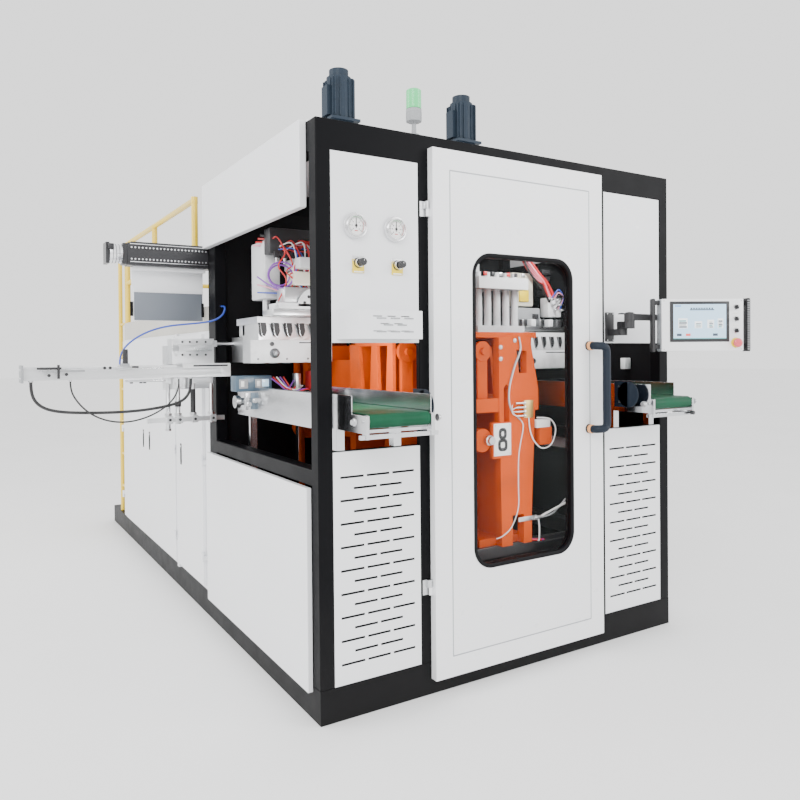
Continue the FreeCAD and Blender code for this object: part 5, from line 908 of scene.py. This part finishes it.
# under the left mask: blue control block, servo, small valves and cables
def underMask():
    shape = Shape()
    shape.blocks((-35, 930, 1395, 170, 1020, 1480, 6, 0))
    for k in range(2):
        shape.blocks((-18 + k * 90, 926, 1412, 32 + k * 90, 931, 1462, 2, 1),
                     (-8 + k * 90, 924.5, 1422, 10 + k * 90, 927, 1452, 1, 2))
    shape.blocks((110, 925, 1420, 150, 930, 1460, 2, 4))
    shape.stud(at(-30, 980, 1340), toRight, ((0, 20), (4, 34), (30, 34), (34, 20), (160, 20)), 3)
    for k in range(7):
        shape.stud(at(20 + k * 34, 900, 1330 + (k % 3) * 18), toFront, ((0, 14), (20, 14), (24, 9)), 3, 14)
        shape.blocks((6 + k * 34, 905, 1300, 30 + k * 34, 920, 1390, 3, (3, 5, 1)[k % 3]))
    shape.blocks((380, 880, 1400, 440, 960, 1500, 4, 6), (300, 900, 1380, 330, 960, 1490, 4, 3))
    for k in range(5):
        path = [(160 + 20 * k, 940, 1470), (200 + 22 * k, 900, 1430 - 10 * k), (240 + 30 * k, 890, 1400),
                (300 + 26 * k, 930, 1450 - 16 * k)]
        shape.hose(path, 4, (7, 6, 2)[k % 3], 6)
    shape.piece("under_mask", "frame", "board greyPlastic signWhite steel screenBlue gearBlue red purple",
                "air_parts")


for make in (maskFront, sidePneumatics, underMask):
    make()
print("side opening made")


sign = {"left": 1034, "right": 1147, "front": 93, "low": 1063, "high": 1229, "stroke": 17}


# clamp B: number plate with a digit from two frames, hubs, connector and the wires that run down the lever
def clampSign():
    shape = Shape()
    front, middle = at(0, sign["front"], 0)[1], (sign["left"] + sign["right"]) / 2
    shape.blocks((sign["left"] - 6, 96, sign["low"] - 14, sign["right"] + 6, 124, sign["high"] + 6, 4, 2),
                 (sign["left"], sign["front"], sign["low"], sign["right"], 97, sign["high"], 1.2, 0))
    for low, high, half in ((1146, 1206, 26), (1086, 1150, 31)):
        corners = [at(middle + side * half, 0, z)[[0, 2]] for side, z in ((-1, low), (1, high))]
        inner = [corners[0] + sign["stroke"] / 1000, corners[1] - sign["stroke"] / 1000]
        shape.ring(roundedOutline(*corners, 0.022), roundedOutline(*inner, 0.009), front - 0.0012,
                   front + 0.0004, 1, 1)
    for x in (sign["left"] + 9, sign["right"] - 9):
        for z in (sign["low"] + 9, sign["high"] - 9):
            shape.stud(at(x, sign["front"], z), toFront, ((0, 4), (1.5, 3.5), (2, tip)), 3, 10)
    shape.stud(at(1012, 118, 1146), toFront, ((0, 26), (22, 26), (26, 21), (40, 20)), 3, 24)
    shape.blocks((1240, 96, 1248, 1304, 99, 1342, 2, 4))
    for k in range(4):
        shape.stud(at(1178, 90, 1262 + 22 * k), toRight, ((0, 5), (50, 5), (52, 8), (64, 8)), 3, 10)
    shape.blocks((1330, 98, 1190, 1428, 150, 1232, 5, 0), (1350, 98, 1098, 1440, 150, 1196, 8, 2),
                 (1196, 96, 706, 1300, 100, 730, 4, 3))
    shape.stud(at(1300, 96, 718), toRight, ((0, 14), (20, 14), (26, 9), (50, 9)), 3, 16)
    for x, z in ((1085, 1620), (1180, 1655), (1085, 1560)):
        shape.stud(at(x, 99, z), toFront, ((0, 12), (4, 12), (6, 9)), 3, 14)
    shape.piece("clamp_fittings", "front_half_b", "signWhite plastic orange steel brass", "orange")
    wires = Shape()
    path = [(1211, 98, 1673), (1218, 96, 1605), (1175, 96, 1512), (1140, 96, 1394), (1152, 96, 1295),
            (1222, 96, 1232), (1230, 96, 1190), (1212, 98, 1109), (1200, 98, 1032), (1198, 98, 900),
            (1196, 98, 782), (1150, 96, 690), (1090, 95, 650), (1047, 96, 640)]
    wires.hose(path, 3)
    wires.pipe([at(x - 7, y - 2, z + 4) for x, y, z in path[:6]], 0.0028, 1, 8, 8)
    loop = [(1270, 96, 1250), (1280, 95.5, 1180), (1310, 95, 1120), (1365, 95, 1082), (1430, 95, 1100),
            (1462, 96, 1173), (1440, 97, 1222), (1400, 98, 1240), (1330, 98, 1246)]
    wires.hose(loop, 3.8)
    for k in range(3):
        pair = [(1180, 88, 1262 + 22 * k), (1150, 86, 1280 + 10 * k), (1158, 96, 1320)]
        wires.pipe([at(*p) for p in pair], 0.0025, 0, 6, 6)
    wires.hose(((1346, 96, 718), (1420, 95.5, 740), (1500, 96, 762), (1561, 94, 780)), 6)
    wires.hose(((1340, 96, 712), (1440, 96, 728), (1540, 104, 790)), 5, 1)
    wires.hose(((1334, 96, 706), (1340, 96, 660), (1338, 96, 600), (1330, 96, 592)), 4.5)
    for k, look in enumerate((2, 3, 2)):
        path = [(1250 + 8 * k, 120, 612), (1290 + 8 * k, 108, 600), (1360 + 8 * k, 100, 592 - 0.5 * k)]
        wires.hose(path, 6, look)
    wires.piece("clamp_wires", "front_half_b", "whiteCable greyPlastic red blue", "hose_blue", 1.0)


# behind the window: cream valve island, its fittings and a hose bundle
def windowInside():
    valves, hoses = Shape(), Shape()
    valves.blocks((1826, 860, 1900, 2010, 940, 2120, 10, 0), (1816, 850, 1775, 2060, 940, 1890, 8, 1),
                  (1880, 848, 1930, 1960, 862, 2010, 4, 2), (1990, 842, 1800, 2040, 852, 1850, 3, 3),
                  (2086, 800, 1830, 2206, 880, 1960, 8, 4))
    for k in range(6):
        spot = at(2100 + 18 * k, 794, 1944 - 34 * (k % 3))
        valves.stud(spot, toFront, ((0, 9), (16, 9), (18, 6), (30, 6)), 5, 12)
    valves.blocks((1830, 800, 1735, 2230, 900, 1765, 6, 5))
    for k in range(5):
        valves.blocks((1850 + 76 * k, 790, 1765, 1894 + 76 * k, 850, 1812, 6, (5, 4)[k % 2]))
    for k in range(4):
        valves.blocks((2130, 900, 1985 + 48 * k, 2200, 960, 2015 + 48 * k, 4, 3))
    valves.blocks((2205, 262, 1486, 2254, 300, 1554, 3, 4))
    valves.piece("window_valves", "frame", "cream greyPlastic labelYellow plastic whiteCast steel",
                 "air_parts")
    for k in range(16):
        lean, drop = (k * 29) % 60, (k * 47) % 50
        path = [(1850 + lean, 850 - 2 * k, 2240), (1900 + lean, 830 - 2 * k, 2190 - drop),
                (1970 + lean, 815 - k, 2120 - drop), (2040 + lean, 805, 2060 - drop / 2),
                (2090 + lean, 805, 1962)]
        hoses.hose(path, 7, (0, 0, 0, 2)[k % 4], 6)
    for k in range(3):
        path = [(2110 + 24 * k, 792, 1955), (2150, 770, 2010 - 20 * k), (2200, 780, 1960),
                (2190 - 20 * k, 798, 1880)]
        hoses.hose(path, 5, (1, 2, 3)[k], 6)
    hoses.hose(((1836, 780, 2230), (1900, 770, 2110), (2010, 775, 2010), (2096, 800, 1930)), 8, 3)
    hoses.piece("window_hoses", "frame", "red blue pink cable", "hose_blue", 1.0)


# heads and ports on the cylinders of the blowing pins
def pinHeads():
    for body, middle in (("pins_left", 675), ("pins_right", 1585)):
        shape = Shape()
        for k in range(6):
            x = middle - 150 + 60 * k
            shape.stud(at(x, 660, 2176), toTop, ((0, 16), (16, 16), (18, 11), (30, 11)), 0, 14)
            shape.blocks((x - 12, 648, 2060, x + 12, 656, 2084, 2, (1, 2, 0)[k % 3]))
        shape.piece("pin_heads_" + body, body, "steel red plastic", "air_parts")


# painted shade inside the lower side sheets: thin dark sheets over their white inner faces
def sideSheetShade():
    shape = Shape()
    shape.blocks((2254, 72, 182, 2256, 1428, 940, 0.5, 0), (4, 72, 182, 6, 1428, 940, 0.5, 0))
    shape.piece("side_sheet_shade", "frame", "screen", "screen_sheet")


for make in (clampSign, maskFace, windowInside, pinHeads, sideSheetShade):
    make()
print("window details made")


arm = {"front": 1256, "back": 1380, "low": 1461, "high": 1547, "end": -1033, "rods": 1392}


# take-out arm: end cap, dark slots, sensors and connector; screws, nuts and sleeves on its carriage
def armDetail():
    fixed, moving = Shape(), Shape()
    fixed.blocks((arm["end"] - 4, arm["front"] - 2, arm["low"] - 2, arm["end"] + 8, arm["back"] + 2,
                  arm["high"] + 2, 3, 0))
    for y in (arm["front"] + 30, arm["back"] - 30):
        for z in (arm["low"] + 22, arm["high"] - 22):
            fixed.stud(at(arm["end"] - 4, y, z), toLeft, ((0, 6), (2, 5.5), (2.5, tip)), 1, 12)
    fixed.blocks((-964, 1252, 1526, -850, 1257, 1537, 0.8, 2), (-940, 1250, 1512, -738, 1257, 1521, 1, 0),
                 (-870, 1246, 1478, -858, 1257, 1550, 1, 2), (-800, 1254, 1523, -330, 1257, 1527, 0.5, 1))
    for x, z in ((-908, 1496), (-826, 1500), (-640, 1530), (-612, 1530), (-66, 1534), (-188, 1534)):
        fixed.stud(at(x, 1256, z), toFront, ((0, 8.5), (4, 8), (4.5, tip)), 2, 14)
    fixed.blocks((-500, 1253, 1528, -466, 1257, 1538, 0.8, 2), (-228, 1249, 1521, 44, 1257, 1547, 1.2, 3),
                 (-170, 1247.5, 1530, 28, 1250, 1539, 0.6, 2), (-520, 1262, 1450, -322, 1340, 1461.4, 1.2, 1))
    for x in (-500, -450, -430):
        fixed.stud(at(x, 1280, 1450), toFloor, ((0, 9), (7, 9)), 2, 6)
    fixed.blocks((-552, 1224, 1552, -526, 1242, 1628, 3, 2), (-560, 1226, 1536, -518, 1258, 1553, 2, 0))
    fixed.piece("arm_fittings", "frame", "greyPlastic steel plastic whiteCast", "aluminium")
    for x in (-232, -190, -150, -100):
        for z in (1596, 1668):
            moving.stud(at(x, arm["front"] - 10, z), toFront, ((0, 6.5), (1, 6.5), (1.2, tip)), 0, 12)
    moving.blocks((-250, arm["front"] - 13, 1616, -64, arm["front"] - 9, 1650, 1, 1))
    for x, low in ((-277, 1165), (-221, 1203), (-134, 1209), (-28, 1203)):
        for z, size in ((1250, 21), (low - 2, 17)):
            moving.stud(at(x, arm["rods"], z), toTop, ((0, tip), (0, size), (13, size)), 1, 6)
        moving.stud(at(x, arm["front"] + 92, 1228), toFront, ((0, 8), (6, 8)), 0, 12)
    moving.stud(at(-134, arm["rods"], 1263), toTop, ((0, 14.5), (135, 14.5)), 0, 20)
    moving.stud(at(-221, arm["rods"], 1300), toTop, ((0, tip), (0, 18), (30, 18)), 0, 20)
    moving.stud(at(-40, 1338, 1664), toFront, ((0, 10), (50, 10)), 1, 16)
    moving.piece("arm_block_fittings", "transfer", "plastic steel", "aluminium")


# linear axis: two rows of bright screws, bright edge lines, rings and plug of the motor
def axisDetail():
    shape = Shape()
    for k in range(22):
        x = -444 + k * 20.5
        for z in (2148, 2214):
            shape.stud(at(x, 1505, z), toFront, ((0, 5.5), (3, 5), (3.5, tip)), 0, 10)
    for z in (2130, 2232):
        shape.blocks((-452, 1503.5, z, -2, 1505.5, z + 4, 0.5, 0))
    sleeve = [(0, 0.0545), (0.001, 0.055), (0.067, 0.055), (0.068, 0.0545)]
    ring = [(0, 0.0545), (0.001, 0.0556), (0.003, 0.0556), (0.004, 0.0545)]
    shape.turned(at(-560, 1556, 2177.5), toRight, sleeve, 0, 48)
    for x in (-545, -528, -510):
        shape.turned(at(x, 1556, 2177.5), toRight, ring, 1, 48)
    shape.blocks((-570, 1496, 2196, -540, 1512, 2228, 3, 1))
    shape.piece("axis_screws", "frame", "brightMetal plastic", "axis_black")


# latches of the cabinet doors
def cabinetLatches():
    for body, y in (("service_leaf", 2088), ("front_leaf", 2996), ("rear_leaf", 3201)):
        shape = Shape()
        shape.blocks((-21.6, y - 15, 862, -17, y + 15, 1003, 1.2, 0),
                     (-24, y - 8, 880, -21, y + 8, 966, 1, 0))
        shape.stud(at(-21.4, y, 984), toLeft, ((0, 7), (2, 6.5)), 1, 14)
        shape.piece("latch_" + body, body, "gasket steel", "dark_plastic")


# conveyors: caps of the rollers' shafts, a sensor, and a bolted round cheek plate inside each
def conveyorDetail():
    shape, cheek = Shape(), [(0, 0.068), (0.001, 0.07), (0.005, 0.07), (0.006, 0.068)]
    for x, side in ((62, -1), (466, 1), (1794, -1), (2198, 1)):
        shape.stud(at(x, -215, 1315), (side, 0, 0), ((0, 16), (6, 16), (8, 11), (16, 11)), 0, 16)
    shape.blocks((2128, -246, 1252, 2136, -130, 1262, 2, 1))
    shape.stud(at(2132, -246, 1257), toFront, ((0, 9), (20, 11), (22, tip)), 1, 14)
    for x in (1786, 468):
        shape.turned(at(x, -112, 1362), toRight, cheek, 2, 40)
        shape.blocks((x, -112, 1292, x + 6, -22, 1432, 1, 2))
        for z in (1320, 1404):
            shape.stud(at(x, -60, z), (-1 if x > 1130 else 1, 0, 0), ((0, 6), (8, 6)), 0, 10)
    shape.piece("conveyor_fittings", "frame", "steel plastic handle", "steel")


# grey sheet in front of the lower hanging plate
def lowerPlate():
    shape = Shape()
    shape.blocks((-416, 1588.2, 1802, -12, 1589.6, 1966, 0.6, 0))
    for x in (-430, -12):
        shape.blocks((x - 8, 1586, 1826, x + 8, 1600, 1910, 1, 1))
    shape.piece("lower_sheet", "side_plates", "sheetGrey gasket", "side_plates")


for make in (armDetail, axisDetail, cabinetLatches, conveyorDetail, lowerPlate):
    make()
print("arm and axis details made")


barrel = {"x": 1130, "z": 2070, "bands": 5, "first": 1600, "pitch": 225, "wide": 190, "radius": 0.111}


# extruder: straps and terminal boxes of the heating bands, gearbox cover and bolts, motor fins and fan cowl
def extruderDetail():
    shape, x, z, size = Shape(), barrel["x"], barrel["z"], barrel["radius"]
    strap = [(0, size - 0.001), (0.001, size + 0.0015), (0.015, size + 0.0015), (0.016, size - 0.001)]
    for k in range(barrel["bands"]):
        start = barrel["first"] + k * barrel["pitch"]
        for y in (start + 12, start + barrel["wide"] - 28):
            shape.turned(at(x, y, z), toBack, strap, 0, 48)
            for side in (-1, 1):
                shape.blocks((x + side * 14 - 4, y - 1, z + 108, x + side * 14 + 4, y + 17, z + 132, 1, 0))
            shape.stud(at(x - 26, y + 8, z + 122), toRight, ((0, tip), (0, 6), (52, 6)), 0, 6)
        shape.blocks((x - 150, start + 60, z - 32, x - 104, start + 130, z + 34, 4, 1))
        shape.stud(at(x - 128, start + 95, z - 32), toFloor, ((0, 12), (16, 12), (20, 8), (30, 8)), 1, 16)
    shape.blocks((930, 2920, 2309, 1330, 3360, 2324, 4, 2))
    for px in (950, 1130, 1310):
        for y in (2940, 3140, 3340):
            if (px, y) != (1130, 3140):
                shape.stud(at(px, y, 2323), toTop, ((0, tip), (0, 13), (10, 13)), 0, 6)
    shape.stud(at(1130, 3140, 2323), toTop, ((0, 30), (12, 30), (16, 22), (50, 22)), 1, 24)
    for side in (-1, 1):
        for y in range(2950, 3400, 90):
            shape.blocks((x + side * 219, y, 1900, x + side * 231, y + 18, 2290, 3, 2))
    shape.stud(at(908, 3010, 2000), toLeft, ((0, 22), (4, 22), (6, 18)), 3, 24)
    for k in range(30):
        turn = math.radians(12 * k)
        low = at(x + 160 * math.cos(turn), 3440, z + 160 * math.sin(turn))
        high = at(x + 160 * math.cos(turn), 3850, z + 160 * math.sin(turn))
        shape.pipe([low, (low + high) / 2, high], 0.0052, 2, 6)
    cowl = [(0, 0.166), (0.002, 0.169), (0.055, 0.169), (0.072, 0.156), (0.078, 0.12)]
    shape.turned(at(x, 3862, z), toBack, cowl, 4, 48, False)
    centre, spin = at(x, 3941, z), np.linspace(0, 2 * math.pi, 41)
    for size in (0.03, 0.055, 0.08, 0.105):
        ring = [centre + np.array([size * math.cos(t), 0, size * math.sin(t)]) for t in spin]
        shape.pipe(ring, 0.0022, 4, 6)
    for k in range(4):
        turn = math.pi / 4 * k
        reach = np.array([0.118 * math.cos(turn), 0, 0.118 * math.sin(turn)])
        shape.pipe([centre - reach, centre, centre + reach], 0.002, 4, 6)
    shape.piece("extruder_fittings", "frame", "steel plastic greyPaint labelYellow case", "extruder_grey")


# hopper: rolled rim and a screwed sight glass
def hopperDetail():
    top, shape = float(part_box("extruder")[1][2]), Shape()
    spin = np.linspace(0, 2 * math.pi, 73)
    for reach, drop, size, sides in ((0.329, 0.002, 0.006, 8), (0.3315, 0.14, 0.003, 6)):
        rim = [(reach * math.cos(t), reach * math.sin(t), top - drop) for t in spin]
        shape.pipe([at(1130, 2700, 0) + np.array(spot) for spot in rim], size, 0, sides)
    shape.blocks((1060, 2364, top * 1000 - 112, 1200, 2371, top * 1000 - 34, 4, 1))
    for px in (1070, 1190):
        for pz in (top * 1000 - 102, top * 1000 - 44):
            shape.stud(at(px, 2364, pz), toFront, ((0, 6), (3, 5.5)), 0, 10)
    shape.piece("hopper_fittings", "frame", "steel case", "extruder_grey")


cabinet = {"side": 2260, "back": 3990}


# cabinets: rows of vent slots on the right side and the back, drawn as dark blocks of painted shade, dark
# sheet joints, and corner screws
def cabinetVents():
    shape, side, back = Shape(), cabinet["side"], cabinet["back"]
    for row in range(9):
        for k in range(5):
            y, x = 1760 + k * 118 + (row % 2) * 36, 320 + k * 118 + (row % 2) * 36
            low, high = 420 + row * 34, 1180 + row * 34
            shape.blocks(*((side - 0.4, y + far, low, side + 0.8, y + far + 84, low + 8, 0.3, 0)
                           for far in (0, 1340)),
                         *((x + far, back - 0.4, high, x + far + 84, back + 0.8, high + 8, 0.3, 0)
                           for far in (0, 960)))
    shape.blocks(*((side - 0.4, y, 190, side + 0.6, y + 3, 1730, 0.3, 0) for y in (2470, 2980, 3480)),
                 *((x, back - 0.4, 190, x + 3, back + 0.6, 1730, 0.3, 0) for x in (755, 1500)))
    shape.piece("cabinet_vent_shade_and_joints", "frame", "gasket", "dark_plastic")
    spots = [at(side, y, z) for y in (1560, 2440, 2500, 3010, 3510, 3950) for z in (220, 960, 1700)]
    screws(spots, toRight, 0.006, "cabinet_side_screws", "frame")
    spots = [at(x, back, z) for x in (40, 720, 790, 1470, 1535, 2220) for z in (220, 960, 1700)]
    screws(spots, toBack, 0.006, "cabinet_back_screws", "frame")


# side sheets and roof: rows of fixing screws along their edges
def sheetScrews():
    for side, x in ((-1, -0.4), (1, 2260.4)):
        spots = [at(x, y, z) for y in (110, 560, 1010, 1420) for z in (215, 900)]
        screws(spots, (side, 0, 0), 0.006, "side_sheet_screws_%d" % (side + 1), "frame")
    top = float(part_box("roof_plate")[1][2]) * 1000
    spots = [at(x, y, top) for x in (120, 700, 1560, 2140) for y in (120, 740, 1380)]
    screws(spots, toTop, 0.006, "roof_screws", "frame")


for make in (extruderDetail, hopperDetail, cabinetVents, sheetScrews):
    make()
print("back details made")


# Floor, light and camera
def stage():
    look = Look("pale floor", (0.93, 0.93, 0.93), 0.7)
    look.feed(Base_Color=look.mix(look.noise(0.8, 3.0), (0.9, 0.9, 0.9), (0.96, 0.96, 0.96)))
    floor = Shape().grid(np.array([[[x, y, -0.001] for x in (-60.0, 60.0)] for y in (-60.0, 60.0)]),
                         closed=False)
    mesh = bpy.data.meshes.new("floor")
    mesh.from_pydata(floor.points[0].tolist(), [], floor.faces)
    mesh.materials.append(look.material)
    plane = bpy.data.objects.new("floor", mesh)
    bpy.context.scene.collection.objects.link(plane)
    world = bpy.data.worlds.new("studio")
    bpy.context.scene.world = world
    world.use_nodes = True
    world.node_tree.nodes["Background"].inputs[0].default_value = (1.0, 1.0, 1.0, 1.0)
    world.node_tree.nodes["Background"].inputs[1].default_value = 1.7


lamps = {   # place, aim, size and power of each soft light
    "key": ((-5.5, -7.0, 5.5), (0, -0.5, 1.4), 4.0, 420),
    "fill": ((5.5, -8.0, 4.0), (0, -1.5, 1.4), 4.0, 260),
    "side": ((-7.5, 1.5, 4.5), (-0.8, 0.0, 1.3), 3.5, 260),
    "inside": ((0.0, -1.9, 2.44), (0.0, -1.5, 0.6), 0.6, 6),
    "outlet": (at(250, 60, 1600), at(290, 640, 1330), 0.25, 4),
    "behind": ((0.72, -2.1, 2.42), (0.85, -1.5, 1.65), 0.4, 18),
}


def light():
    for name, (place, aim, size, power) in lamps.items():
        lamp = bpy.data.lights.new(name, "AREA")
        lamp.size, lamp.energy = size, power
        rig = bpy.data.objects.new(name, lamp)
        bpy.context.scene.collection.objects.link(rig)
        rig.location = place
        away = np.array(place, float) - np.array(aim, float)
        rig.rotation_euler = (math.atan2(math.hypot(away[0], away[1]), away[2]), 0,
                              math.atan2(away[1], away[0]) + math.pi / 2)


camera = {"lens": 32.486, "shift": (0.01916, -0.04683), "place": at(-1325.7, -2775.5, 1586.6),
          "right": (0.85834, -0.51301, -0.00882), "up": (0.01308, 0.00468, 0.9999),
          "ahead": (0.51292, 0.85837, -0.01073)}


def lookOn():
    lens = bpy.data.cameras.new("camera")
    lens.lens, lens.sensor_width = camera["lens"], 36.0
    lens.shift_x, lens.shift_y = camera["shift"]
    lens.clip_start, lens.clip_end = 0.05, 200.0
    view = bpy.data.objects.new("camera", lens)
    bpy.context.scene.collection.objects.link(view)
    turn = np.array([camera["right"], camera["up"], -np.array(camera["ahead"])]).T
    full = np.eye(4)
    full[:3, :3], full[:3, 3] = turn, camera["place"]
    view.matrix_world = Matrix(full.tolist())
    bpy.context.scene.camera = view


stage()
light()
lookOn()
print("stage ready")
